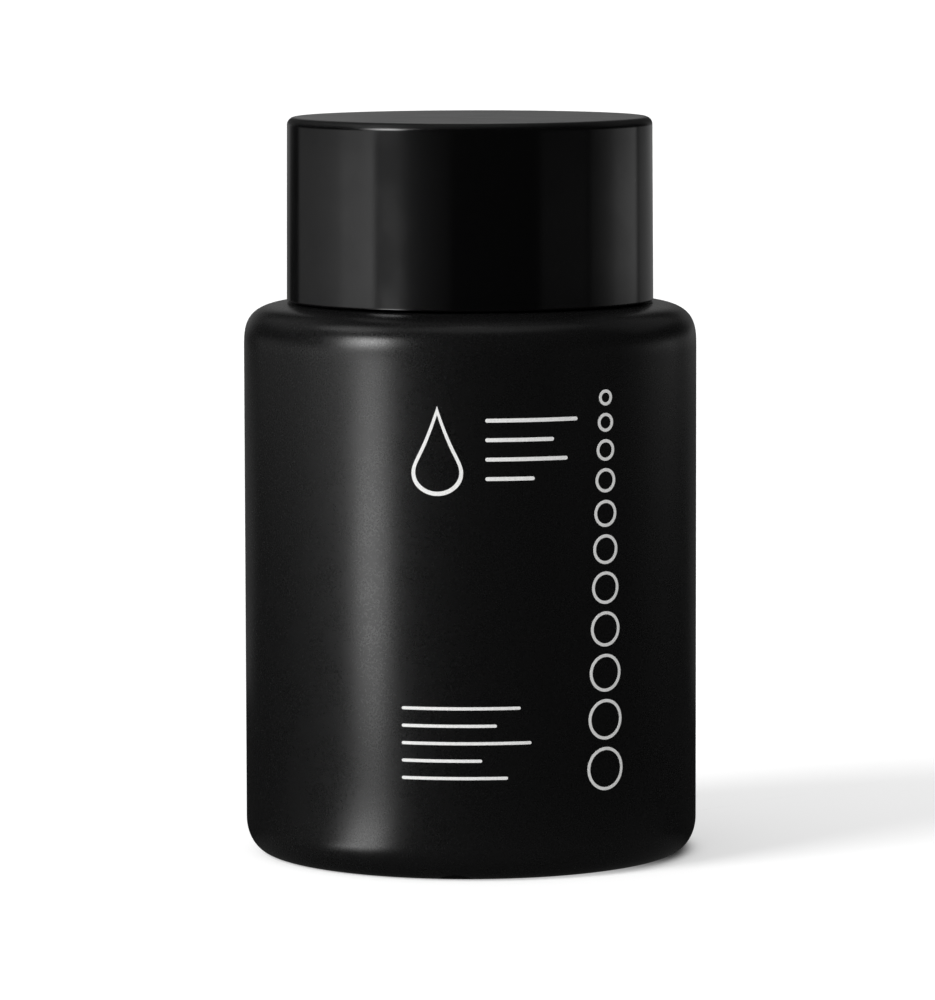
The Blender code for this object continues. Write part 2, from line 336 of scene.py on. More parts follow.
@dataclass
class NodeTree:
    """A short way to add and join shader nodes.

    Attributes:
        tree: The node tree that it fills.
    """

    tree: bpy.types.NodeTree

    def add(self, kind: str, inputs: dict[str | int, object] | None = None,
            **settings: object) -> bpy.types.Node:
        """Add a node, set its properties and fill or link its inputs.

        Args:
            kind: The node's type.
            inputs: Values, or sockets to link from, by input name or number.
            **settings: Properties of the node itself.

        Returns:
            The new node.
        """
        node = self.tree.nodes.new(kind)
        for key, value in settings.items():
            setattr(node, key, value)
        for key, value in (inputs or {}).items():
            self.feed(node.inputs[key], value)
        return node

    def feed(self, socket: bpy.types.NodeSocket, value: object) -> None:
        """Set a socket's value, or link it where the value is a socket.

        Args:
            socket: The input to fill.
            value: A plain value or an output socket.
        """
        if isinstance(value, bpy.types.NodeSocket):
            self.tree.links.new(value, socket)
        else:
            socket.default_value = value

    def place(self) -> bpy.types.NodeSocket:
        """Where the shaded point is on its own object."""
        return self.add("ShaderNodeTexCoord").outputs["Object"]

    def clouds(self, place: bpy.types.NodeSocket, scale: object, **more: float) -> bpy.types.Node:
        """Add a Noise Texture node.

        Args:
            place: The position that it is read at.
            scale: Its scale, as a value or a socket.
            **more: Values of its other inputs.

        Returns:
            The new node.
        """
        return self.add("ShaderNodeTexNoise", {"Vector": place, "Scale": scale, **more})

    def math(self, operation: str, first: object, second: object = 0.0) -> bpy.types.NodeSocket:
        """Add a Math node and return its output.

        Args:
            operation: The node's operation.
            first: Its first value or socket.
            second: Its second value or socket.

        Returns:
            The output socket.
        """
        return self.add("ShaderNodeMath", {0: first, 1: second}, operation=operation).outputs[0]

    def spread(self, value: object, low: float, high: float, start: float = 0.0,
               end: float = 1.0) -> bpy.types.NodeSocket:
        """Map a value from one range to another, eased at both ends.

        Args:
            value: The socket to map.
            low: Where the input range starts.
            high: Where the input range ends.
            start: The output at low.
            end: The output at high.

        Returns:
            The mapped socket.
        """
        node = self.add(
            "ShaderNodeMapRange", {0: value, 1: low, 2: high, 3: start, 4: end},
            interpolation_type="SMOOTHSTEP",
        )
        return node.outputs[0]

    def blend(self, factor: object, first: object, second: object) -> bpy.types.NodeSocket:
        """Mix two colours.

        Args:
            factor: How much of the second there is.
            first: The first colour or socket.
            second: The second colour or socket.

        Returns:
            The mixed colour socket.
        """
        node = self.add("ShaderNodeMix", data_type="RGBA")
        for number, value in ((0, factor), (6, first), (7, second)):
            self.feed(node.inputs[number], value)
        return node.outputs[2]

    def emboss(self, shader: bpy.types.Node, height: bpy.types.NodeSocket, strength: float = 1.0,
               distance: float = 1.0) -> None:
        """Bend the shader's normal as if its surface had this height.

        Args:
            shader: The material's shader.
            height: The height over the surface.
            strength: The bump's strength.
            distance: Metres for each unit of height.
        """
        bump = self.add("ShaderNodeBump", {"Strength": strength, "Distance": distance,
                                           "Height": height})
        self.feed(shader.inputs["Normal"], bump.outputs[0])


def new_surface(name: str) -> tuple[bpy.types.Material, NodeTree, bpy.types.Node]:
    """Start a material that has a Principled shader.

    Args:
        name: The material's name.

    Returns:
        The material, its node helper and its shader.
    """
    material = bpy.data.materials.new(name)
    material.use_nodes = True
    nodes = NodeTree(material.node_tree)
    return material, nodes, material.node_tree.nodes["Principled BSDF"]


def opaque(colour: Colour, share: float = 1.0, lift: float = 0.0) -> tuple[float, ...]:
    """A colour as a shader takes it.

    Args:
        colour: Its linear channels.
        share: How much of each channel is kept.
        lift: What is added to each channel.

    Returns:
        Four channels, the last one 1.
    """
    return (*(share * channel + lift for channel in colour), 1.0)


class SharedEffects:
    """Shader groups that more than one finish uses, each built once."""

    # Each edge is where a mask starts and where it is full
    PATCH_GRAINS = 14.0  # grains across a patch
    PATCH_EDGE = (0.3, 0.7)
    SMEAR_SCALE = 85.0
    SMEAR_EDGE = (0.45, 0.75)
    SPECK_SCALE = 700.0
    SPECK_EDGE = (0.10, 0.03)
    BEND_EDGE = (0.505, 0.54)
    WORN_SCALE = 900.0
    WORN_EDGE = (0.35, 0.6)
    WORN_SHARE = (0.3, 1.0)  # rubbing where it is least and most
    CELL_SHIFT = 2e-4  # how far foam cells are bent out of place
    PIT_EDGE = (0.62, 0.12)
    TONE_SCALE = 160.0
    TONE_EDGE = (0.35, 0.65)

    def __init__(self) -> None:
        """Build every shared group."""
        self.grain = self._grain()
        self.handling = self._handling()
        self.edges = self._edges()
        self.cells = self._cells()

    @staticmethod
    def _open(name: str, outputs: list[str], value: str | None = None) -> tuple:
        """Start a node group that takes a position.

        Args:
            name: The group's name.
            outputs: Names of its value outputs.
            value: Name of a value that it takes as well.

        Returns:
            The group, its node helper, its inputs and its output node.
        """
        group = bpy.data.node_groups.new(name, "ShaderNodeTree")
        group.interface.new_socket("Position", in_out="INPUT", socket_type="NodeSocketVector")
        if value:
            group.interface.new_socket(value, in_out="INPUT", socket_type="NodeSocketFloat")
        for socket in outputs:
            group.interface.new_socket(socket, in_out="OUTPUT", socket_type="NodeSocketFloat")
        nodes = NodeTree(group)
        entry = nodes.add("NodeGroupInput").outputs
        return group, nodes, entry, nodes.add("NodeGroupOutput")

    def _grain(self) -> bpy.types.NodeTree:
        """Fine spark-eroded mould grain, with broader patches of it.

        Returns:
            The group, with Height and Patch outputs.
        """
        group, nodes, entry, out = self._open("moulded_grain", ["Height", "Patch"], "Size")
        scale = nodes.math("DIVIDE", 1.0, entry["Size"])
        fine = nodes.clouds(entry["Position"], scale, Detail=3.0, Roughness=0.6)
        broad_scale = nodes.math("DIVIDE", scale, self.PATCH_GRAINS)
        broad = nodes.clouds(entry["Position"], broad_scale, Detail=2.0)
        nodes.feed(out.inputs["Height"], fine.outputs[0])
        nodes.feed(out.inputs["Patch"], nodes.spread(broad.outputs[0], *self.PATCH_EDGE))
        return group

    def _handling(self) -> bpy.types.NodeTree:
        """Faint smudges from handling, and sparse specks of dust.

        Returns:
            The group, with Smudge and Dust outputs.
        """
        group, nodes, entry, out = self._open("handling", ["Smudge", "Dust"], "Dust Amount")
        smear = nodes.clouds(entry["Position"], self.SMEAR_SCALE, Detail=3.0, Distortion=1.2)
        specks = nodes.add("ShaderNodeTexVoronoi", {"Vector": entry["Position"],
                                                    "Scale": self.SPECK_SCALE, "Randomness": 1.0})
        lone = nodes.add("ShaderNodeTexWhiteNoise", {"Vector": specks.outputs["Position"]})
        chosen = nodes.math("LESS_THAN", lone.outputs[0], entry["Dust Amount"])
        spot = nodes.spread(specks.outputs["Distance"], *self.SPECK_EDGE)
        nodes.feed(out.inputs["Smudge"], nodes.spread(smear.outputs[0], *self.SMEAR_EDGE))
        nodes.feed(out.inputs["Dust"], nodes.math("MULTIPLY", chosen, spot))
        return group

    def _edges(self) -> bpy.types.NodeTree:
        """Where outer edges are rubbed smooth, broken up by grain.

        Returns:
            The group, with an Edge output.
        """
        group, nodes, entry, out = self._open("edge_wear", ["Edge"])
        bend = nodes.add("ShaderNodeNewGeometry").outputs["Pointiness"]
        worn = nodes.clouds(entry["Position"], self.WORN_SCALE)
        edge = nodes.spread(bend, *self.BEND_EDGE)
        patchy = nodes.spread(worn.outputs[0], *self.WORN_EDGE, *self.WORN_SHARE)
        nodes.feed(out.inputs["Edge"], nodes.math("MULTIPLY", edge, patchy))
        return group

    def _cells(self) -> bpy.types.NodeTree:
        """Foam cells: round pits with thin walls between them.

        Returns:
            The group, with Pit and Tone outputs.
        """
        group, nodes, entry, out = self._open("foam_cells", ["Pit", "Tone"], "Size")
        scale = nodes.math("DIVIDE", 1.0, entry["Size"])
        bent = nodes.clouds(entry["Position"], scale, Detail=1.0)
        shift = nodes.add("ShaderNodeVectorMath", {0: bent.outputs[1], 1: (self.CELL_SHIFT,) * 3},
                          operation="MULTIPLY")
        place = nodes.add("ShaderNodeVectorMath", {0: entry["Position"], 1: shift.outputs[0]},
                          operation="ADD").outputs[0]
        cells = nodes.add("ShaderNodeTexVoronoi", {"Vector": place, "Scale": scale})
        tones = nodes.clouds(entry["Position"], self.TONE_SCALE, Detail=2.0)
        pit = nodes.spread(cells.outputs["Distance"], *self.PIT_EDGE)
        nodes.feed(out.inputs["Pit"], pit)
        nodes.feed(out.inputs["Tone"], nodes.spread(tones.outputs[0], *self.TONE_EDGE))
        return group


# Finishes


@dataclass(frozen=True)
class MouldedFinish:
    """A moulded plastic with mould grain, faint handling marks and rubbed edges.

    Attributes:
        name: The material's name.
        colour: Its linear colour.
        roughness: Its middle roughness.
        patchiness: How much the roughness drifts.
        grain_size: Width of a grain.
        grain_depth: Depth of a grain.
        grain_tone: Share of the colour left between grains.
        mottle: How much the roughness varies from grain to grain.
        mottle_edge: Grain heights between which it varies.
        dust: Share of places that hold a speck.
        dust_cover: How much of the colour a speck hides.
        dust_tone: Share of the colour in a speck, and what is added to it.
        seam: Height of the mould's parting line, 0 for none.
        seam_half: Where the parting line's ridge ends and where it is full, from its middle.
        edge_haze: How much rougher the rounded edges are, 0 for no rougher.
    """

    name: str
    colour: Colour
    roughness: float
    patchiness: float = 0.03
    grain_size: float = 0.00016
    grain_depth: float = 0.000004
    grain_tone: float = 0.6
    mottle: float = 0.0
    mottle_edge: tuple[float, float] = (0.25, 0.75)
    dust: float = 0.01
    dust_cover: float = 0.35
    dust_tone: tuple[float, float] = (0.55, 0.12)
    seam: float = 0.0
    seam_half: tuple[float, float] = (0.00012, 0.00003)
    edge_haze: float = 0.0

    def material(self, effects: SharedEffects) -> bpy.types.Material:
        """Build the material.

        Args:
            effects: The shared shader groups.

        Returns:
            The new material.
        """
        material, nodes, shader = new_surface(self.name)
        place = nodes.place()
        grain = nodes.add("ShaderNodeGroup", {"Position": place, "Size": self.grain_size},
                          node_tree=effects.grain).outputs
        marks = nodes.add("ShaderNodeGroup", {"Position": place, "Dust Amount": self.dust},
                          node_tree=effects.handling).outputs
        edges = nodes.add("ShaderNodeGroup", {"Position": place}, node_tree=effects.edges).outputs

        dusty = nodes.math("MULTIPLY", marks["Dust"], self.dust_cover)
        tone = nodes.blend(grain["Height"], opaque(self.colour, self.grain_tone),
                           opaque(self.colour))
        colour = nodes.blend(dusty, tone, opaque(self.colour, *self.dust_tone))
        nodes.feed(shader.inputs["Base Color"], colour)

        half_mottle = 0.5 * self.mottle
        drift = nodes.spread(grain["Patch"], 0.0, 1.0, -self.patchiness, self.patchiness)
        mottle = nodes.spread(grain["Height"], *self.mottle_edge, -half_mottle, half_mottle)
        rough = nodes.math("ADD", nodes.math("ADD", drift, mottle), self.roughness)
        smudge = nodes.math("MULTIPLY", marks["Smudge"], self.patchiness)
        rough = nodes.math("ADD", rough, smudge)
        if self.edge_haze > 0.0:
            rough = nodes.math("ADD", rough, self._haze(nodes))
        rubbed = nodes.math("MULTIPLY", edges["Edge"], 2.0 * self.patchiness)
        nodes.feed(shader.inputs["Roughness"], nodes.math("SUBTRACT", rough, rubbed))

        height = nodes.math("MULTIPLY", grain["Height"], self.grain_depth)
        if self.seam > 0.0:
            height = nodes.math("ADD", height, self._seam_height(nodes, place))
        nodes.emboss(shader, height)
        return material

    def _haze(self, nodes: NodeTree) -> bpy.types.NodeSocket:
        """Extra roughness, most where a wall has turned halfway over into a top.

        Args:
            nodes: The material's nodes.

        Returns:
            The extra roughness.
        """
        normal = nodes.add("ShaderNodeTexCoord").outputs["Normal"]
        up = nodes.add("ShaderNodeSeparateXYZ", {0: normal}).outputs[2]
        level = nodes.math("MULTIPLY", up, up)
        upright = nodes.math("SUBTRACT", 1.0, level)
        slope = nodes.math("SQRT", nodes.math("MULTIPLY", level, upright))
        return nodes.math("MULTIPLY", slope, 2.0 * self.edge_haze)

    def _seam_height(self, nodes: NodeTree, place: bpy.types.NodeSocket) -> bpy.types.NodeSocket:
        """Height of the parting line, a hair-fine ridge where the mould's halves met.

        Args:
            nodes: The material's nodes.
            place: The object position.

        Returns:
            The ridge's height.
        """
        parts = nodes.add("ShaderNodeSeparateXYZ", {0: place}).outputs
        across = nodes.math("ABSOLUTE", parts["Y"])
        return nodes.spread(across, *self.seam_half, 0.0, self.seam)


@dataclass(frozen=True)
class FoamFinish:
    """Foam with cells of one size, and painted shade in its pits.

    Attributes:
        name: The material's name.
        colour: Colour of the cell walls.
        pit_painted_shade: Painted shade, the darker colour given to the pits.
        cell_size: Width of a cell.
        cell_depth: Depth of a cell.
        roughness: Its roughness where it is palest.
        shade: Share of the colour left where it is darkest.
        gloss: How much less rough it is there.
    """

    name: str
    colour: Colour
    pit_painted_shade: Colour
    cell_size: float
    cell_depth: float
    roughness: float
    shade: float = 0.88
    gloss: float = 0.06

    def material(self, effects: SharedEffects) -> bpy.types.Material:
        """Build the material.

        Args:
            effects: The shared shader groups.

        Returns:
            The new material.
        """
        material, nodes, shader = new_surface(self.name)
        cells = nodes.add("ShaderNodeGroup", {"Position": nodes.place(), "Size": self.cell_size},
                          node_tree=effects.cells).outputs
        wall = nodes.blend(cells["Tone"], opaque(self.colour, self.shade), opaque(self.colour))
        # Painted shade: the pits get a darker colour than the cell walls.
        colour = nodes.blend(cells["Pit"], wall, opaque(self.pit_painted_shade))
        nodes.feed(shader.inputs["Base Color"], colour)
        rough = nodes.spread(cells["Tone"], 0.0, 1.0, self.roughness - self.gloss, self.roughness)
        nodes.feed(shader.inputs["Roughness"], rough)
        nodes.emboss(shader, nodes.math("MULTIPLY", cells["Pit"], -self.cell_depth))
        return material


@dataclass(frozen=True)
class LiquidFinish:
    """A clear liquid with a barely stirred surface.

    Attributes:
        name: The material's name.
        colour: Its faint tint.
        index: Its refractive index.
        roughness: Its roughness.
        shade: Share of the tint left in its swells.
        swell_scale: Scale of the swells.
        swell_height: Height of the swells.
        swell_strength: How much of that height shows.
    """

    name: str
    colour: Colour
    index: float
    roughness: float = 0.02
    shade: float = 0.94
    swell_scale: float = 220.0
    swell_height: float = 0.00003
    swell_strength: float = 0.3

    def material(self, effects: SharedEffects) -> bpy.types.Material:
        """Build the material.

        Args:
            effects: The shared shader groups.

        Returns:
            The new material.
        """
        material, nodes, shader = new_surface(self.name)
        swell = nodes.clouds(nodes.place(), self.swell_scale).outputs[0]
        tint = nodes.blend(swell, opaque(self.colour, self.shade), opaque(self.colour))
        nodes.feed(shader.inputs["Base Color"], tint)
        shader.inputs["Transmission Weight"].default_value = 1.0
        shader.inputs["Roughness"].default_value = self.roughness
        shader.inputs["IOR"].default_value = self.index
        nodes.emboss(shader, swell, self.swell_strength, self.swell_height)
        return material


def dress(item: bpy.types.Object, material: bpy.types.Material, body: Body, slot: Slot,
          *nodes: str) -> bpy.types.Object:
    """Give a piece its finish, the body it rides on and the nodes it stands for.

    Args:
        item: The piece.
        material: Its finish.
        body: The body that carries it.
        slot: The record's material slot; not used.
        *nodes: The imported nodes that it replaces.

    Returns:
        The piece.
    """
    item.data.materials.clear()
    item.data.materials.append(material)
    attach(item, body.value)
    if nodes:
        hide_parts(*nodes)
    LOG.info("built %s, riding on %s", item.name, body.value)
    return item


# Pieces


@dataclass(frozen=True)
class HelixRidge:
    """A thread ridge that winds up a wall.

    Attributes:
        depth: How far it stands out; negative on an inner wall.
        crest: Width of its crest.
        start_turn: Where it starts, in turns from +X.
        start_height: Height of its start.
        turns: How far it winds.
        lead: Rise in one turn.
        flank: Angle of its flanks.
        run_out: Turns over which each end fades.
    """

    depth: float
    crest: float
    start_turn: float
    start_height: float
    turns: float
    lead: float = THREAD_LEAD
    flank: float = math.radians(30)
    run_out: float = 0.08

    def relief(self, angle: np.ndarray, height: np.ndarray) -> np.ndarray:
        """How far the ridge stands out of the wall.

        Args:
            angle: Angles round the axis.
            height: Heights of the same points.

        Returns:
            The ridge's rise at each point.
        """
        half_crest = 0.5 * self.crest
        slope = abs(self.depth) * math.tan(self.flank)
        rise = np.zeros_like(height)
        for lap in range(math.floor(self.start_turn), math.ceil(self.start_turn + self.turns) + 1):
            travelled = angle / math.tau + lap - self.start_turn
            inside = (travelled >= 0.0) & (travelled <= self.turns)
            centre = self.start_height + self.lead * travelled
            flank = smooth_ramp((half_crest + slope - np.abs(height - centre)) / slope)
            ends = smooth_ramp(np.minimum(travelled, self.turns - travelled) / self.run_out)
            rise = np.maximum(rise, np.where(inside, flank * ends, 0.0))
        return self.depth * rise


@dataclass
class Jar:
    """The blow-moulded jar: matt black, with a threaded neck and a heel notch."""

    box: NodeBox = boxed("jar_body")
    body_height: float = 0.0614
    wall: float = 0.0014
    wall_support: float = 0.00032
    shoulder_reach: float = 0.0075
    shoulder_drop: float = 0.0054
    shoulder_power: float = 3.5
    heel_reach: float = 0.0026
    heel_rise: float = 0.0037
    foot_width: float = 0.0022
    foot_bevel: float = 0.0008
    foot_edge: float = 0.0001
    base_thickness: float = 0.0018
    push_up: float = 0.0016
    neck_radius: float = 0.0162
    neck_wall: float = 0.0016
    neck_fillet: float = 0.0009
    lip_round: float = 0.0005
    bead_depth: float = 0.0010
    bead_half: float = 0.0004
    bead_slope: float = 0.0005
    bead_rise: float = 0.0031
    thread_below_lip: float = 0.0023
    thread_depth: float = 0.0011
    thread_crest: float = 0.0010
    thread_turns: float = 1.5
    notch_width: float = 0.0042
    notch_height: float = 0.00065
    notch_turn: float = math.radians(-94.3)
    notch_steps: int = 96
    segments: int = 240
    finish: MouldedFinish = MouldedFinish(
        "jar_black_matt_finish", (0.0042, 0.0042, 0.0043), roughness=0.28, patchiness=0.008,
        grain_size=0.00026, grain_depth=0.000004, mottle=0.05, dust=0.001, seam=0.00002,
    )

    @property
    def neck_bore(self) -> float:
        """Inner radius of the neck."""
        return self.neck_radius - self.neck_wall

    @property
    def heel(self) -> float:
        """Radius at which the heel's rounding starts."""
        return self.box.radius - self.heel_reach

    @property
    def shoulder(self) -> Point:
        """Centre of the shoulder's rounding."""
        return (self.box.radius - self.shoulder_reach, self.body_height - self.shoulder_drop)

    @property
    def thread(self) -> HelixRidge:
        """The neck's thread."""
        low = self.box.high - self.thread_below_lip - THREAD_LEAD * self.thread_turns
        return HelixRidge(self.thread_depth, self.thread_crest, 0.0, low, self.thread_turns)

    def neck_relief(self, angle: np.ndarray, height: np.ndarray) -> np.ndarray:
        """Thread and transfer bead on the neck.

        Args:
            angle: Angles round the axis.
            height: Heights of the same points.

        Returns:
            How far the surface stands out.
        """
        off = np.abs(height - self.body_height - self.bead_rise)
        bead = smooth_ramp((self.bead_half + self.bead_slope - off) / self.bead_slope)
        return np.maximum(self.bead_depth * bead, self.thread.relief(angle, height))

    def outside(self) -> list[Stretch]:
        """Outline from under the base to the outer lip.

        Returns:
            Its stretches.
        """
        side, foot = self.box.radius, self.heel - self.foot_width
        base = from_axis(self.push_up, (foot - self.foot_bevel, self.foot_bevel), CURVED_PITCH)
        base += [(foot - self.foot_edge, self.foot_edge), (foot, 0.0), (foot + SUPPORT, 0.0),
                 (self.heel - SUPPORT, 0.0)]
        base += quarter((self.heel, self.heel_rise), self.heel_reach, -self.heel_rise, steps=20,
                        falling=True)
        wall = rows((side, self.heel_rise + self.wall_support),
                    (side, self.shoulder[1] - self.wall_support), FLAT_PITCH)
        top = quarter(self.shoulder, self.shoulder_reach, self.shoulder_drop, steps=44,
                      power=self.shoulder_power)
        fillet = (self.neck_radius + self.neck_fillet, self.body_height + self.neck_fillet)
        top += quarter(fillet, -self.neck_fillet, -self.neck_fillet, steps=8, falling=True)
        neck_top = self.box.high - self.lip_round
        neck = rows((self.neck_radius, fillet[1]), (self.neck_radius, neck_top), THREAD_PITCH)
        lip = quarter((self.neck_radius - self.lip_round, neck_top), self.lip_round,
                      self.lip_round, steps=8)
        return [Stretch(base), Stretch(wall), Stretch(top), Stretch(neck, self.neck_relief),
                Stretch(lip)]

    def inside(self) -> list[Stretch]:
        """Outline from the inner lip down to the floor.

        Returns:
            Its stretches.
        """
        lip = quarter((self.neck_bore + self.lip_round, self.box.high - self.lip_round),
                      -self.lip_round, self.lip_round, steps=8, falling=True)
        return [Stretch(lip), Stretch(self.throat(0.0)), Stretch(self.floor(0.0))]

    def throat(self, gap: float) -> list[Point]:
        """Outline from the bore down under the shoulder to the wall.

        Args:
            gap: How far to stay off the jar's own inner face.

        Returns:
            Its points.
        """
        fillet = self.neck_fillet + gap
        centre = (self.neck_bore - gap + fillet, self.body_height - self.wall - gap + fillet)
        inset = self.wall + gap
        return quarter(centre, -fillet, -fillet, steps=8) + quarter(
            self.shoulder, self.shoulder_reach - inset, self.shoulder_drop - inset, steps=20,
            power=self.shoulder_power, falling=True)

    def floor(self, gap: float) -> list[Point]:
        """Outline of the inner floor from the wall to the axis.

        Args:
            gap: How far to stay off the jar's own floor.

        Returns:
            Its points.
        """
        low = self.base_thickness + gap
        reach = self.heel_reach - self.wall - gap
        points = quarter((self.heel, self.heel_rise), reach, low - self.heel_rise, steps=8)
        recess = self.heel - self.foot_width - self.foot_bevel
        return points + [(recess, self.foot_bevel + low), (0.0, self.push_up + low)]

    def cut_notch(self, jar: bpy.types.Object) -> None:
        """Cut the arched notch that locates the jar for printing.

        Args:
            jar: The jar's mesh object.
        """
        radius = (0.25 * self.notch_width**2 + self.notch_height**2) / (2.0 * self.notch_height)
        along = Vector((math.cos(self.notch_turn), math.sin(self.notch_turn), 0.0))
        across = Vector((-along.y, along.x, 0.0))
        steps = self.notch_steps
        verts: list[list[float]] = []
        for reach in (self.heel + FIT_GAP, self.box.radius):
            for step in range(steps):
                angle = math.tau * step / steps
                side = radius * math.sin(angle)
                up = self.notch_height - radius + radius * math.cos(angle)
                verts.append(list(along * reach + across * side + Vector((0.0, 0.0, up))))
        inner_end, outer_end = range(steps), range(2 * steps - 1, steps - 1, -1)
        faces: list[tuple[int, ...]] = [tuple(inner_end), tuple(outer_end)]
        for step in range(steps):
            after = (step + 1) % steps
            faces.append((after, step, steps + step, steps + after))
        cutter = mesh_object("notch_cutter", verts, faces)
        modifier = jar.modifiers.new("notch", "BOOLEAN")
        modifier.operation = "DIFFERENCE"
        modifier.solver = "EXACT"
        modifier.object = cutter
        shape = jar.evaluated_get(bpy.context.evaluated_depsgraph_get())
        cut = bpy.data.meshes.new_from_object(shape)
        jar.modifiers.clear()
        jar.data = cut
        shade(cut)
        bpy.data.objects.remove(cutter, do_unlink=True)

    def build(self, effects: SharedEffects) -> bpy.types.Object:
        """Build and dress the jar.

        Args:
            effects: The shared shader groups.

        Returns:
            The jar.
        """
        jar = turned("jar_shell", self.outside() + self.inside(), self.segments)
        self.cut_notch(jar)
        return dress(jar, self.finish.material(effects), Body.JAR, Slot.JAR, "jar_body")


@dataclass
class Sponge:
    """The soaked foam with its finger hole and slits."""

    jar: Jar
    box: NodeBox = boxed("sponge_insert")
    gap: float = 0.0004
    edge_round: float = 0.0010
    hole_radius: float = 0.0065
    hole_floor: float = 0.0100
    hole_round: float = 0.0009
    slit_reach: float = 0.0042
    slit_width: float = 0.0008
    slit_count: int = 4
    slit_share: float = 0.98
    plain_pitch: float = 0.002
    pitted_pitch: float = 0.00018
    segments: int = 360
    cell_size: float = 0.0009
    cell_depth: float = 0.00025
    pit_width: float = 0.55
    pit_reach: float = 0.012
    fill: float = 0.9
    # The second colour is painted shade for the foam's pits.
    finish: FoamFinish = FoamFinish(
        "sponge_foam_finish", (0.74, 0.70, 0.60), (0.40, 0.36, 0.28), cell_size=0.00075,
        cell_depth=0.00018, roughness=0.92,
    )

    def slits(self, angle: np.ndarray, height: np.ndarray) -> np.ndarray:
        """How far the slits reach beyond the round hole.

        Args:
            angle: Angles round the axis.
            height: Heights of the same points.

        Returns:
            The slits' reach at each point.
        """
        pitch = math.tau / self.slit_count
        off = np.abs((angle + 0.5 * pitch) % pitch - 0.5 * pitch)
        side = 0.5 * self.slit_width / np.sin(np.maximum(off, TINY))
        reach = np.minimum(side, self.hole_radius + self.slit_reach)
        return np.maximum(reach - self.hole_radius, 0.0)

    def outline(self) -> list[Stretch]:
        """Outline from the hole's floor over the top, down the sides and under the base.

        Returns:
            Its stretches.
        """
        floor = self.box.low + self.hole_floor
        hole_top = self.box.high - self.hole_round
        bottom = [(0.0, floor), (0.5 * self.hole_radius, floor)]
        fine = hole_top - self.pit_reach
        wall = rows((self.hole_radius, floor), (self.hole_radius, fine), self.plain_pitch)
        wall += rows((self.hole_radius, fine), (self.hole_radius, hole_top), self.pitted_pitch)
        crown = quarter((self.hole_radius + self.hole_round, hole_top), -self.hole_round,
                        self.hole_round, steps=4)
        edge = self.jar.neck_bore - self.gap - self.edge_round
        flat = rows(crown[-1], (edge, self.box.high), self.pitted_pitch)
        span = edge - crown[-1][0]

        def fading(angle: np.ndarray, height: np.ndarray) -> np.ndarray:
            """Slits that close towards the foam's outer edge.

            Args:
                angle: Angles round the axis.
                height: Heights of the same points.

            Returns:
                The slits' reach at each point.
            """
            left = np.linspace(1.0, 0.0, len(height))[:, None]
            reach = self.slits(angle, height)
            kept = np.clip(reach - (1.0 - left) * span, 0.0, None)
            return kept * self.slit_share + left * TINY

        top_edge = quarter((edge, self.box.high - self.edge_round), self.edge_round,
                           self.edge_round, steps=5, falling=True)
        side = self.jar.box.radius - self.jar.wall - self.gap - self.edge_round
        low_edge = quarter((side, self.box.low + self.edge_round), self.edge_round,
                           -self.edge_round, steps=5)
        neck = rows(top_edge[-1], self.jar.throat(self.gap)[0], self.plain_pitch)
        return [
            Stretch(bottom), Stretch(wall, self.slits), Stretch(crown, self.slits),
            Stretch(flat, fading), Stretch(top_edge), Stretch(neck),
            Stretch(self.jar.throat(self.gap)), Stretch(low_edge), Stretch([(0.0, self.box.low)]),
        ]

    def pit(self, sponge: bpy.types.Object) -> None:
        """Press open cells into the foam that shows.

        Args:
            sponge: The foam's mesh object.
        """
        mesh = sponge.data
        places = np.empty(3 * len(mesh.vertices), np.float32)
        normals = np.empty_like(places)
        mesh.vertices.foreach_get("co", places)
        mesh.vertex_normals.foreach_get("vector", normals)
        places, normals = places.reshape(-1, 3), normals.reshape(-1, 3)
        reach = np.hypot(places[:, 0], places[:, 1])
        shows = (places[:, 2] > self.box.high - self.pit_reach) & (reach < self.jar.neck_bore)
        for index in np.nonzero(shows)[0]:
            near = noise.voronoi(Vector(places[index]) / self.cell_size)[0][0]
            hollow = 1.0 - min(1.0, near / self.pit_width) ** 2
            places[index] -= normals[index] * self.cell_depth * hollow
        mesh.vertices.foreach_set("co", places.ravel())
        mesh.update()

    def build(self, effects: SharedEffects) -> bpy.types.Object:
        """Build and dress the foam.

        Args:
            effects: The shared shader groups.

        Returns:
            The foam.
        """
        sponge = turned("sponge_foam_insert", self.outline(), self.segments)
        self.pit(sponge)
        dress(sponge, self.finish.material(effects), Body.JAR, Slot.SPONGE, "sponge_insert")
        return sponge


@dataclass
class Remover:
    """The liquid that stands below the foam."""

    jar: Jar
    box: NodeBox = boxed("remover_fluid")
    meniscus: float = 0.0005
    segments: int = 160
    finish: LiquidFinish = LiquidFinish("remover_liquid_finish", (0.95, 0.97, 0.98), index=1.36)

    def build(self, effects: SharedEffects) -> bpy.types.Object:
        """Build and dress the pool.

        Args:
            effects: The shared shader groups.

        Returns:
            The pool.
        """
        side = self.jar.box.radius - self.jar.wall - FIT_GAP
        curl = quarter((side - 2.0 * self.meniscus, self.box.high), 2.0 * self.meniscus,
                       -self.meniscus, steps=6, falling=True)
        surface = from_axis(self.box.high - self.meniscus, curl[0], CURVED_PITCH)
        stretches = [Stretch(surface), Stretch(curl), Stretch(self.jar.floor(FIT_GAP))]
        pool = turned("remover_pool", stretches, self.segments)
        return dress(pool, self.finish.material(effects), Body.JAR, Slot.REMOVER, "remover_fluid")


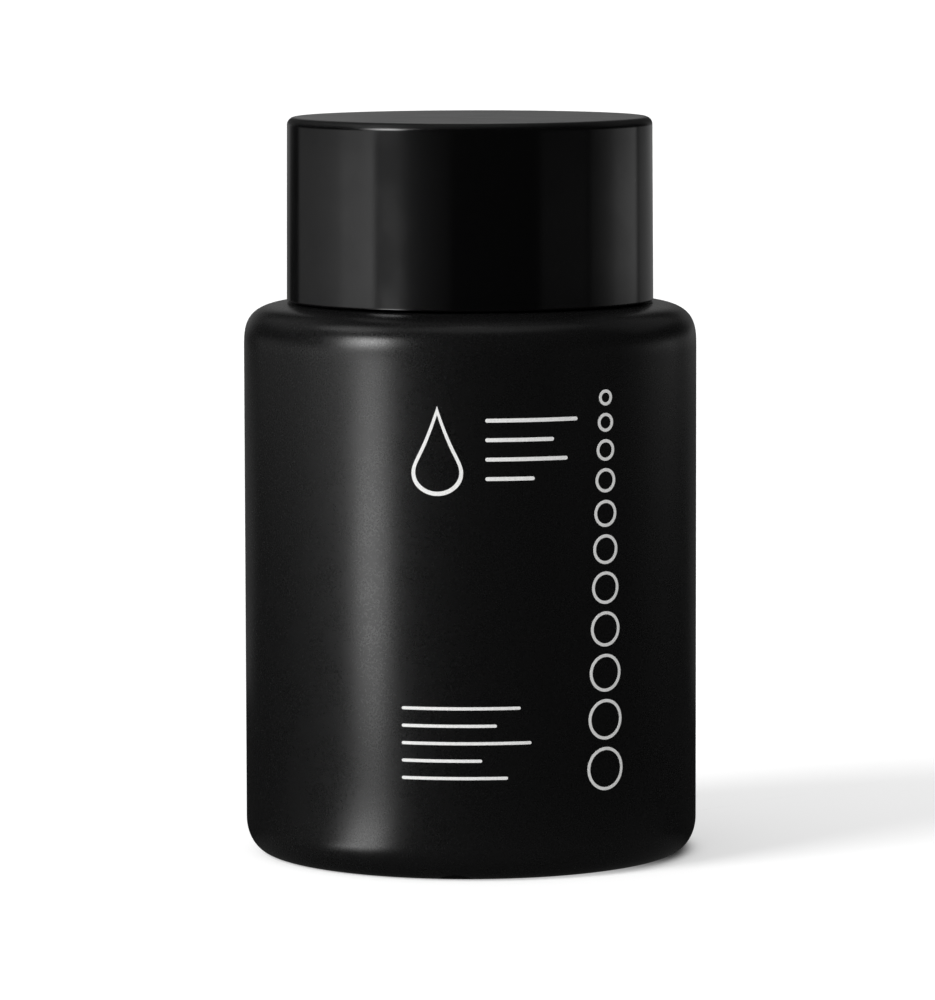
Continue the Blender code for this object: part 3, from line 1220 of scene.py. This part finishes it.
@dataclass
class Seal:
    """The foam wad in the cap, pressed by the lip."""

    jar: Jar
    box: NodeBox = boxed("seal_disc")
    skin: float = 0.00014
    core_inset: float = 0.00006
    core_edge: float = 1.3
    dent: float = 0.00012
    dent_edge: float = 0.0003
    dent_pitch: float = 0.00012
    flat_reach: float = 0.010
    segments: int = 200
    # The second colour is painted shade for the foam's pits.
    finish: FoamFinish = FoamFinish(
        "seal_foam_finish", (0.80, 0.80, 0.78), (0.62, 0.62, 0.60), cell_size=0.00028,
        cell_depth=0.00002, roughness=0.55,
    )

    def dented(self, radius: float) -> float:
        """Height of the wad's lower skin, pressed up where the lip bears.

        Args:
            radius: Distance from the axis.

        Returns:
            The skin's height.
        """
        half = 0.5 * self.jar.neck_wall
        middle = self.jar.neck_radius - half
        inside = half + self.dent_edge - abs(radius - middle)
        press = float(smooth_ramp(np.array(inside / self.dent_edge)))
        return self.box.low + self.dent * press

    def build(self, effects: SharedEffects) -> bpy.types.Object:
        """Build and dress the wad.

        Args:
            effects: The shared shader groups.

        Returns:
            The wad.
        """
        radius, low, high = self.box.radius, self.box.low, self.box.high
        inset = radius - self.core_inset
        half_skin, core = 0.5 * self.skin, self.core_edge * self.skin
        edge = [(radius - self.skin, high), (radius, high - half_skin), (radius, high - self.skin),
                (inset, high - core), (inset, low + core), (radius, low + self.skin),
                (radius, low + half_skin), (radius - self.skin, low)]
        top = from_axis(high, edge[0], FLAT_PITCH)
        flat = (self.flat_reach, low)
        painted_contact_shadow = [(r, self.dented(r)) for r, _ in rows(edge[-1], flat, self.dent_pitch)]
        painted_contact_shadow += to_axis(flat, CURVED_PITCH)
        wad = turned("seal_wad", [Stretch(top), Stretch(edge), Stretch(painted_contact_shadow)], self.segments)
        return dress(wad, self.finish.material(effects), Body.SEAL, Slot.SEAL, "seal_disc")


@dataclass
class Cap:
    """The two-piece cap: a smooth satin shell over a ribbed threaded cup."""

    jar: Jar
    seal: Seal
    shell_box: NodeBox = boxed("cap_outer_shell")
    cup_box: NodeBox = boxed("cap_inner_shell")
    shell_top: float = 0.0013
    side_pitch: float = 0.0015
    draft: float = 0.0001
    top_round: float = 0.0009
    rim_round: float = 0.00012
    rim_drop: float = 0.00012
    snap_depth: float = 0.0004
    snap_width: float = 0.0008
    cup_wall: float = 0.0008
    cup_top: float = 0.00125
    cup_round: float = 0.0006
    thread_depth: float = 0.0009
    thread_crest: float = 0.0008
    thread_turns: float = 1.15
    thread_start: float = 0.0012
    seal_hold: float = 0.0003
    bead_width: float = 0.0004
    bead_slope: float = 0.0004
    rib_count: int = 16
    rib_depth: float = 0.0007
    rib_play: float = 0.0006
    rib_slope: float = 0.0003
    rib_end: float = 0.0003
    rib_top_margin: float = 0.0010
    segments: int = 320
    shell_finish: MouldedFinish = MouldedFinish(
        "cap_black_satin_finish", (0.0013, 0.0013, 0.0014), roughness=0.13, patchiness=0.012,
        grain_size=0.00030, grain_depth=0.0000012, dust=0.012, edge_haze=0.30,
    )
    cup_finish: MouldedFinish = MouldedFinish(
        "cap_inner_white_finish", (0.72, 0.72, 0.70), roughness=0.34, patchiness=0.04,
        grain_size=0.00025, grain_depth=0.000003, dust=0.006,
    )

    @property
    def bore(self) -> float:
        """Inner radius of the threaded cup."""
        return self.jar.neck_radius + self.jar.thread_depth + FIT_GAP

    @property
    def cup_radius(self) -> float:
        """Outer radius of the cup between its ribs."""
        return self.bore + self.cup_wall

    @property
    def shell_bore(self) -> float:
        """Inner radius of the smooth shell between its ribs."""
        return self.cup_radius + self.rib_depth + FIT_GAP

    @property
    def thread(self) -> HelixRidge:
        """The cup's thread, on the neck's own helix and a clearance below it.

        Returns:
            Its ridge.
        """
        neck = self.jar.thread
        overlap = self.jar.thread_depth + self.thread_depth - (self.bore - self.jar.neck_radius)
        spacing = 0.5 * (neck.crest + self.thread_crest) + overlap * math.tan(neck.flank)
        below = spacing + FIT_GAP / math.cos(neck.flank)
        first = self.cup_box.low + self.thread_start
        turn = (first - (neck.start_height - below)) / neck.lead
        return HelixRidge(-self.thread_depth, self.thread_crest, turn, first, self.thread_turns)

    def ribs(self, depth: float, offset: float) -> Relief:
        """Locking ribs between the two shells, eased at their sides and ends.

        Args:
            depth: How far they stand out; negative on an inner wall.
            offset: Turn of the first rib, in pitches.

        Returns:
            Their relief.
        """
        pitch = math.tau / self.rib_count
        middle = 0.5 * (self.cup_radius + self.shell_bore)
        half = 0.5 * (0.5 * pitch * middle - self.rib_play)
        low = self.cup_box.low + FIT_GAP
        high = self.cup_box.high - self.rib_top_margin

        def relief(angle: np.ndarray, height: np.ndarray) -> np.ndarray:
            """How far the ribs stand out.

            Args:
                angle: Angles round the axis.
                height: Heights of the same points.

            Returns:
                The ribs' rise at each point.
            """
            off = np.abs((angle / pitch - offset + 0.5) % 1.0 - 0.5) * pitch * middle
            foot = smooth_ramp((height - low) / self.rib_end)
            head = smooth_ramp((high - height) / self.rib_end)
            return depth * smooth_ramp((half - off) / self.rib_slope + 0.5) * (foot * head)

        return relief

    def shell_outline(self) -> list[Stretch]:
        """Outline of the smooth shell from its top centre to its ceiling.

        Returns:
            Its stretches.
        """
        low, high = self.shell_box.low - self.rim_drop, self.shell_box.high
        rim, bore, curve = self.shell_box.radius, self.shell_bore, self.rim_round
        top = rim - self.draft
        edge = quarter((top - self.top_round, high - self.top_round), self.top_round,
                       self.top_round, steps=14, falling=True)
        crown = from_axis(high, (edge[0][0] - SUPPORT, high), FLAT_PITCH)
        side = rows((top, edge[-1][1] - SUPPORT), (rim, low + curve + SUPPORT), self.side_pitch)
        outer_rim = quarter((rim - curve, low + curve), curve, -curve, steps=5)
        inner_rim = quarter((bore + curve, low + curve), -curve, -curve, steps=5, falling=True)
        snap_top = self.cup_box.low - FIT_GAP
        snap_low = snap_top - self.snap_width
        snap = self.cup_radius + self.rib_depth - self.snap_depth
        ring = [(bore, snap_low - (bore - snap)), (snap, snap_low), (snap, snap_top),
                (bore, snap_top)]
        ceiling = (bore, high - self.shell_top)
        wall = rows((bore, snap_top), ceiling, RIB_PITCH)
        return [Stretch(crown), Stretch(edge), Stretch(side), Stretch(outer_rim),
                Stretch(inner_rim), Stretch(ring), Stretch(wall, self.ribs(-self.rib_depth, 0.5)),
                Stretch(to_axis(ceiling, FLAT_PITCH))]

    def cup_outline(self) -> list[Stretch]:
        """Outline of the threaded cup from its top centre to its ceiling.

        Returns:
            Its stretches.
        """
        low, high, radius = self.cup_box.low, self.cup_box.high, self.cup_radius
        edge = quarter((radius - self.cup_round, high - self.cup_round), self.cup_round,
                       self.cup_round, steps=6, falling=True)
        crown = from_axis(high, (edge[0][0] - SUPPORT, high), FLAT_PITCH)
        side = rows(edge[-1], (radius, low + SUPPORT), RIB_PITCH)
        foot = [(radius, low + SUPPORT), (radius - SUPPORT, low), (self.bore + SUPPORT, low),
                (self.bore, low + SUPPORT)]
        bead_top = self.seal.box.low - FIT_GAP
        bead_low = bead_top - self.bead_width
        hold = self.bore - FIT_GAP - self.seal_hold
        wall = rows(foot[-1], (self.bore, bead_low - self.bead_slope), THREAD_PITCH)
        bead = [(hold, bead_low), (hold, bead_top), (self.bore, bead_top + FIT_GAP)]
        ceiling = high - self.cup_top
        roof = [(self.bore, ceiling)] + to_axis((self.bore - SUPPORT, ceiling), FLAT_PITCH)
        return [Stretch(crown), Stretch(edge), Stretch(side, self.ribs(self.rib_depth, 0.0)),
                Stretch(foot), Stretch(wall, self.thread.relief), Stretch(bead), Stretch(roof)]

    def build(self, effects: SharedEffects) -> None:
        """Build and dress both shells.

        Args:
            effects: The shared shader groups.
        """
        shell = turned("cap_smooth_shell", self.shell_outline(), self.segments)
        dress(shell, self.shell_finish.material(effects), Body.CAP, Slot.CAP_OUTER,
              "cap_outer_shell")
        cup = turned("cap_threaded_cup", self.cup_outline(), self.segments)
        dress(cup, self.cup_finish.material(effects), Body.CAP, Slot.CAP_INNER,
              "cap_inner_shell")


@dataclass(frozen=True)
class RuledLines:
    """A block of level lines in the print.

    Attributes:
        left: Where each starts, to the right of the middle.
        top: Height of the first.
        drop: From one line to the next.
        thick: How thick each is.
        lengths: How long each is.
    """

    left: float
    top: float
    drop: float
    thick: float
    lengths: tuple[float, ...]


@dataclass
class FrontPrint:
    """Plain white screen print on the jar's front: ruled lines, a drop and a column of bubbles."""

    jar: Jar
    proud: float = 0.00003
    sunk: float = 0.00002
    step: float = 0.0004
    ring_steps: int = 96
    end_points: int = 6
    least_thickness: float = 0.02
    drop_centre: Point = (-0.0036, 0.0452)
    drop_radius: float = 0.0029
    drop_tip: float = 0.0032
    drop_line: float = 0.00046
    blocks: tuple[RuledLines, ...] = (
        RuledLines(0.0016, 0.0502, 0.0021, 0.00042, (0.0104, 0.0076, 0.0092, 0.0054)),
        RuledLines(-0.0076, 0.0190, 0.0019, 0.00034, (0.0130, 0.0104, 0.0142, 0.0088, 0.0116)),
    )
    bubble_count: int = 11
    bubble_start: Point = (0.0156, 0.0118)
    bubble_radius: float = 0.0022
    bubble_shrink: float = 0.00015
    bubble_gap: float = 0.0010
    bubble_line: float = 0.00034
    finish: MouldedFinish = MouldedFinish(
        "front_print_ink_finish", (0.86, 0.86, 0.85), roughness=0.5, patchiness=0.04,
        grain_size=0.00018, grain_depth=0.000003, dust=0.004,
    )
    verts: list[list[float]] = field(default_factory=list)
    faces: list[tuple[int, ...]] = field(default_factory=list)

    def on_wall(self, across: float, height: float, radius: float) -> list[float]:
        """Wrap a point of the flat design round the jar's wall.

        Args:
            across: Distance to the right of the middle, along the wall.
            height: Height above the floor.
            radius: Distance from the axis.

        Returns:
            The point in space.
        """
        angle = across / self.jar.box.radius
        return [radius * math.sin(angle), -radius * math.cos(angle), height]

    def band(self, first: list[Point], second: list[Point], closed: bool) -> None:
        """Lay a band of ink between two lines of the design.

        Args:
            first: Points of its first edge.
            second: Points of its second edge, as many.
            closed: Whether it runs back to its start.
        """
        inner = self.jar.box.radius - self.sunk
        outer = self.jar.box.radius + self.proud
        start = len(self.verts)
        for one, two in zip(first, second):
            for point, radius in ((one, outer), (two, outer), (two, inner), (one, inner)):
                self.verts.append(self.on_wall(*point, radius))
        count = len(first)
        for index in range(count if closed else count - 1):
            here = start + 4 * index
            after = start + 4 * ((index + 1) % count)
            for side in range(4):
                turn = (side + 1) % 4
                self.faces.append((here + side, after + side, after + turn, here + turn))
        if not closed:
            end = start + 4 * (count - 1)
            self.faces.append((start, start + 1, start + 2, start + 3))
            self.faces.append((end + 3, end + 2, end + 1, end))

    def rule(self, left: float, height: float, length: float, thick: float) -> None:
        """Draw a level line with round ends.

        Args:
            left: Where it starts.
            height: Its middle height.
            length: How long it is.
            thick: How thick it is.
        """
        half = 0.5 * thick
        first, last = left + half, left + length - half
        ends = np.linspace(0.0, 0.5 * math.pi, self.end_points)
        run = [first - half * math.cos(a) for a in ends]
        run += [x for x, _ in rows((first, 0.0), (last, 0.0), self.step)][1:-1]
        run += [last + half * math.sin(a) for a in ends]
        tall = []
        for x in run:
            off = max(first - x, x - last, 0.0)
            rise = math.sqrt(max(half * half - off * off, 0.0))
            tall.append(max(rise, self.least_thickness * half))
        self.band([(x, height + t) for x, t in zip(run, tall)],
                  [(x, height - t) for x, t in zip(run, tall)], closed=False)

    def ring(self, centre: Point, radius: float, thick: float, tip: float = 0.0) -> None:
        """Draw a ring, or a drop where it has a tip.

        Args:
            centre: Its middle.
            radius: Its middle radius.
            thick: How thick its line is.
            tip: How far the drop's tip rises above the round.
        """

        def edge(reach: float) -> list[Point]:
            """One edge of the line.

            Args:
                reach: Its radius.

            Returns:
                Its points.
            """
            points = []
            for step in range(self.ring_steps):
                angle = math.tau * step / self.ring_steps
                up = math.cos(angle)
                narrow = 1.0 - (0.5 + 0.5 * up) ** 2 if tip else 1.0
                rise = tip * max(up, 0.0) ** 3 * reach / radius
                points.append((centre[0] + reach * math.sin(angle) * (narrow ** 0.5),
                               centre[1] + reach * up + rise))
            return points

        self.band(edge(radius + 0.5 * thick), edge(radius - 0.5 * thick), closed=True)

    def draw(self) -> None:
        """Lay out the whole design."""
        self.ring(self.drop_centre, self.drop_radius, self.drop_line, tip=self.drop_tip)
        for block in self.blocks:
            for index, length in enumerate(block.lengths):
                self.rule(block.left, block.top - block.drop * index, length, block.thick)
        across, height = self.bubble_start
        for index in range(self.bubble_count):
            radius = self.bubble_radius - self.bubble_shrink * index
            self.ring((across, height), radius, self.bubble_line)
            height += 2.0 * radius + self.bubble_gap

    def build(self, effects: SharedEffects) -> bpy.types.Object:
        """Build and dress the print.

        Args:
            effects: The shared shader groups.

        Returns:
            The print.
        """
        self.draw()
        ink = mesh_object("front_print", self.verts, self.faces)
        return dress(ink, self.finish.material(effects), Body.JAR, Slot.CAP_INNER)


# Studio


@dataclass(frozen=True)
class Card:
    """A soft-edged card in the dome of cards that the jar mirrors.

    Angles are in degrees, seen from the middle of the jar.

    Attributes:
        start: Angle to the left of the camera where it starts.
        end: Angle where it ends.
        low: Elevation of its lower edge.
        high: Elevation of its upper edge.
        level: Its brightness.
        far: Its brightness at its end, if it fades towards it.
        side: Width of its soft sides.
        rim: Width of its soft top and bottom.
    """

    start: float
    end: float
    low: float
    high: float
    level: float
    far: float | None = None
    side: float = 3.0
    rim: float = 2.0

    def glow(self, azimuth: np.ndarray, elevation: np.ndarray) -> np.ndarray:
        """Its brightness in each direction.

        Args:
            azimuth: Degrees to the left of the camera.
            elevation: Degrees above the horizon.

        Returns:
            The brightness.
        """
        across = np.minimum(azimuth - self.start, self.end - azimuth) / self.side
        up = np.minimum(elevation - self.low, self.high - elevation) / self.rim
        along = np.clip((azimuth - self.start) / (self.end - self.start), 0.0, 1.0)
        fade = ((self.far or self.level) / self.level) ** along
        return self.level * fade * smooth_ramp(across + 0.5) * smooth_ramp(up + 0.5)


@dataclass
class Studio:
    """Pale floor, soft light, the cards that the jar mirrors, and the camera."""

    sky_level: float = 0.82
    sky_tilt: float = 0.28
    sun_level: float = 2.7
    sun_azimuth: float = 53.5
    sun_elevation: float = 41.0
    sun_softness: float = 21.0
    floor_colour: float = 0.47
    floor_lift: float = 0.485
    floor_size: float = 60.0
    # Painted contact shadow: where the floor's glow dims by the jar's foot, on the lee side only
    contact_reach: float = 0.006
    contact_open: float = 0.66
    contact_full: float = 0.20
    lee_start: float = -0.004
    lee_full: float = 0.016
    card_radius: float = 0.60
    card_roof: float = 1.0
    card_eye: float = 0.045
    card_lift: float = 0.00008
    card_turn_pitch: float = 1.5
    card_bands: tuple[tuple[float, float, float], ...] = (
        (-63.5, -12.0, 2.5),
        (-12.0, 30.0, 0.75),
        (30.0, 89.0, 3.0),
    )
    least_sine: float = 1e-3
    dark_level: float = 0.012
    cards: tuple[Card, ...] = (
        Card(43.5, 65.0, 6.5, 27.0, 8.0, far=7.0, side=8.0, rim=4.0),
        Card(45.5, 60.0, 14.0, 27.0, 6.6, side=6.0, rim=4.0),
        Card(42.0, 57.0, -13.0, -4.7, 7.7, side=7.0, rim=3.0),
        Card(39.0, 52.0, -20.5, -13.5, 3.4, side=7.0, rim=4.0),
        Card(33.0, 48.5, -52.0, -36.0, 5.6, side=9.0, rim=6.0),
        Card(12.0, 43.0, -3.6, 2.6, 0.045, far=0.30, side=4.0),
        Card(43.0, 61.0, -3.6, 2.6, 0.33, far=0.37, side=5.0),
        Card(61.0, 86.0, -3.6, 2.6, 1.40, far=0.95, side=4.0),
        Card(86.0, 134.5, -3.6, 2.6, 0.78, far=0.13, side=3.0),
        Card(155.0, 176.0, -4.0, 8.0, 0.10, side=5.0),
        Card(140.0, 176.0, -17.0, -3.5, 0.085, side=8.0, rim=3.0),
        Card(-78.0, -44.0, -3.0, 2.2, 0.07, side=5.0),
        Card(-104.0, -80.0, -2.3, 2.2, 0.47, far=0.11, side=4.0),
        Card(-128.0, -104.0, -2.3, 2.2, 0.52, side=5.0),
        Card(-176.0, -131.0, -3.0, 2.2, 0.17, side=5.0),
        Card(-177.0, -145.0, -18.0, -3.5, 0.05, side=8.0, rim=3.0),
        Card(150.0, 210.0, 1.0, 16.0, 0.13, side=20.0, rim=6.0),
        Card(168.0, 192.0, 14.0, 34.0, 0.20, side=8.0, rim=8.0),
        Card(166.0, 194.0, 32.0, 64.0, 1.0, side=14.0, rim=12.0),
        Card(66.0, 106.0, 42.0, 60.0, 1.4, side=14.0, rim=10.0),
        Card(100.0, 150.0, 22.0, 48.0, 0.13, side=16.0, rim=12.0),
        Card(-150.0, -95.0, 22.0, 50.0, 0.10, side=16.0, rim=12.0),
        Card(-120.0, 100.0, 58.0, 95.0, 0.20, side=30.0, rim=8.0),
        Card(-60.0, 60.0, 62.0, 90.0, 0.12, side=20.0, rim=8.0),
        Card(-80.0, 84.0, -90.0, -38.0, 0.04, side=24.0, rim=12.0),
    )
    lens: float = 216.96
    sensor_width: float = 36.0
    clip_start: float = 0.01
    clip_end: float = 200.0
    pitch: float = 0.0994
    yaw: float = 0.00027
    roll: float = 0.00234
    distance: float = 0.6701
    height: float = 0.10597

    def seen(self, nodes: NodeTree) -> bpy.types.NodeSocket:
        """1 where the camera, a gloss or a glass looks, else 0.

        Args:
            nodes: The nodes to add it to.

        Returns:
            The mask.
        """
        path = nodes.add("ShaderNodeLightPath").outputs
        mask = nodes.math("MAXIMUM", path["Is Camera Ray"], path["Is Glossy Ray"])
        return nodes.math("MAXIMUM", mask, path["Is Transmission Ray"])

    def build_world(self) -> None:
        """A plain sky: white where it is seen, and where it lights, brighter on the left."""
        world = bpy.data.worlds.new("plain_sky")
        bpy.context.scene.world = world
        world.use_nodes = True
        nodes = NodeTree(world.node_tree)
        towards = nodes.add("ShaderNodeTexCoord").outputs["Generated"]
        right = nodes.add("ShaderNodeSeparateXYZ", {0: towards}).outputs[0]
        lit = nodes.spread(right, -1.0, 1.0, self.sky_level * (1.0 + self.sky_tilt),
                           self.sky_level * (1.0 - self.sky_tilt))
        seen = self.seen(nodes)
        unseen = nodes.math("SUBTRACT", 1.0, seen)
        level = nodes.math("ADD", seen, nodes.math("MULTIPLY", unseen, lit))
        sky = world.node_tree.nodes["Background"]
        sky.inputs["Color"].default_value = (1.0, 1.0, 1.0, 1.0)
        nodes.feed(sky.inputs["Strength"], level)

    def build_floor(self) -> None:
        """A white floor that keeps the jar's cast shadow, with a painted contact shadow on the lee
        side, where its glow dims near the jar.
        """
        half = 0.5 * self.floor_size
        verts = [[-half, -half, 0.0], [half, -half, 0.0], [half, half, 0.0], [-half, half, 0.0]]
        floor = mesh_object("studio_floor", verts, [(0, 1, 2, 3)])
        material, nodes, shader = new_surface("floor_white")
        colour = self.floor_colour
        shader.inputs["Base Color"].default_value = (colour, colour, colour, 1.0)
        shader.inputs["Roughness"].default_value = 1.0
        shader.inputs["Specular IOR Level"].default_value = 0.0
        shader.inputs["Emission Color"].default_value = (1.0, 1.0, 1.0, 1.0)
        # Painted contact shadow: the glow is taken away where the heel hangs over the floor on the
        # lee side
        near = nodes.add("ShaderNodeAmbientOcclusion", {"Distance": self.contact_reach})
        painted_contact_shadow = nodes.spread(near.outputs["AO"], self.contact_open, self.contact_full)
        turn = math.radians(self.sun_azimuth)
        away = (math.sin(turn), math.cos(turn), 0.0)
        behind = nodes.add("ShaderNodeVectorMath", {0: nodes.place(), 1: away},
                           operation="DOT_PRODUCT").outputs["Value"]
        lee = nodes.spread(behind, self.lee_start, self.lee_full)
        open_share = nodes.math("SUBTRACT", 1.0, nodes.math("MULTIPLY", painted_contact_shadow, lee))
        level = nodes.math("MULTIPLY", open_share, self.floor_lift)
        lift = nodes.math("MULTIPLY", self.seen(nodes), level)
        nodes.feed(shader.inputs["Emission Strength"], lift)
        floor.data.materials.append(material)

    def build_cards(self) -> None:
        """The dome of cards round the jar, with each direction's glow on its corners."""
        around = np.arange(-180.0, 180.0, self.card_turn_pitch)
        up = np.concatenate([np.arange(*band) for band in self.card_bands])
        azimuth, elevation = np.meshgrid(around, up)
        glow = np.full_like(azimuth, self.dark_level)
        for card in self.cards:
            for lap in (-360.0, 0.0, 360.0):
                glow += card.glow(azimuth + lap, elevation)
        turn, tilt = np.radians(azimuth), np.radians(elevation)
        wall = self.card_radius / np.cos(tilt)
        roof = self.card_roof / np.maximum(np.sin(tilt), self.least_sine)
        ground = (self.card_eye - self.card_lift) / np.maximum(-np.sin(tilt), self.least_sine)
        reach = np.minimum(wall, np.where(tilt < 0.0, ground, roof))
        x = -reach * np.cos(tilt) * np.sin(turn)
        y = -reach * np.cos(tilt) * np.cos(turn)
        z = self.card_eye + reach * np.sin(tilt)
        verts = np.stack([x, y, z], axis=2).reshape(-1, 3).tolist()
        dome = mesh_object("studio_cards", verts, round_grid(*azimuth.shape))
        layer = dome.data.color_attributes.new("glow", "FLOAT_COLOR", "POINT")
        flat = np.repeat(glow.reshape(-1, 1), 4, axis=1).astype(np.float32)
        layer.data.foreach_set("color", flat.ravel())
        material, nodes, _ = new_surface("card_glow")
        material.node_tree.nodes.clear()
        colour = nodes.add("ShaderNodeAttribute", attribute_name="glow").outputs["Color"]
        lamp = nodes.add("ShaderNodeEmission", {"Color": colour, "Strength": 1.0})
        nodes.add("ShaderNodeOutputMaterial", {0: lamp.outputs[0]})
        dome.data.materials.append(material)
        for ray in ("camera", "diffuse", "shadow", "transmission", "volume_scatter"):
            setattr(dome, f"visible_{ray}", False)

    def build_sun(self) -> None:
        """The soft lamp that throws the jar's shadow to the right."""
        lamp = bpy.data.lights.new("soft_lamp", "SUN")
        lamp.energy = self.sun_level
        lamp.angle = math.radians(self.sun_softness)
        item = linked("soft_lamp", lamp)
        turn = math.radians(self.sun_azimuth)
        rise = math.radians(self.sun_elevation)
        towards = Vector((-math.sin(turn) * math.cos(rise), -math.cos(turn) * math.cos(rise),
                          math.sin(rise)))
        item.rotation_euler = towards.to_track_quat("Z", "Y").to_euler()
        item.visible_glossy = False

    def build_camera(self) -> None:
        """The camera, at the photograph's viewing angle."""
        data = bpy.data.cameras.new("camera")
        data.lens = self.lens
        data.sensor_width = self.sensor_width
        data.clip_start = self.clip_start
        data.clip_end = self.clip_end
        camera = linked("camera", data)
        camera.location = (0.0, -self.distance, self.height)
        camera.rotation_euler = (0.5 * math.pi - self.pitch, self.roll, self.yaw)
        bpy.context.scene.camera = camera

    def build(self) -> None:
        """Build the whole studio."""
        bpy.context.scene.view_settings.view_transform = "Standard"
        self.build_world()
        self.build_floor()
        self.build_cards()
        self.build_sun()
        self.build_camera()


def main() -> None:
    """Build every sub-assembly in order."""
    logging.basicConfig(level=logging.INFO, format="%(name)s: %(message)s")
    effects = SharedEffects()
    jar = Jar()
    jar.build(effects)
    Sponge(jar).build(effects)
    Remover(jar).build(effects)
    seal = Seal(jar)
    seal.build(effects)
    Cap(jar, seal).build(effects)
    FrontPrint(jar).build(effects)
    Studio().build()


if __name__ == "__main__":
    main()
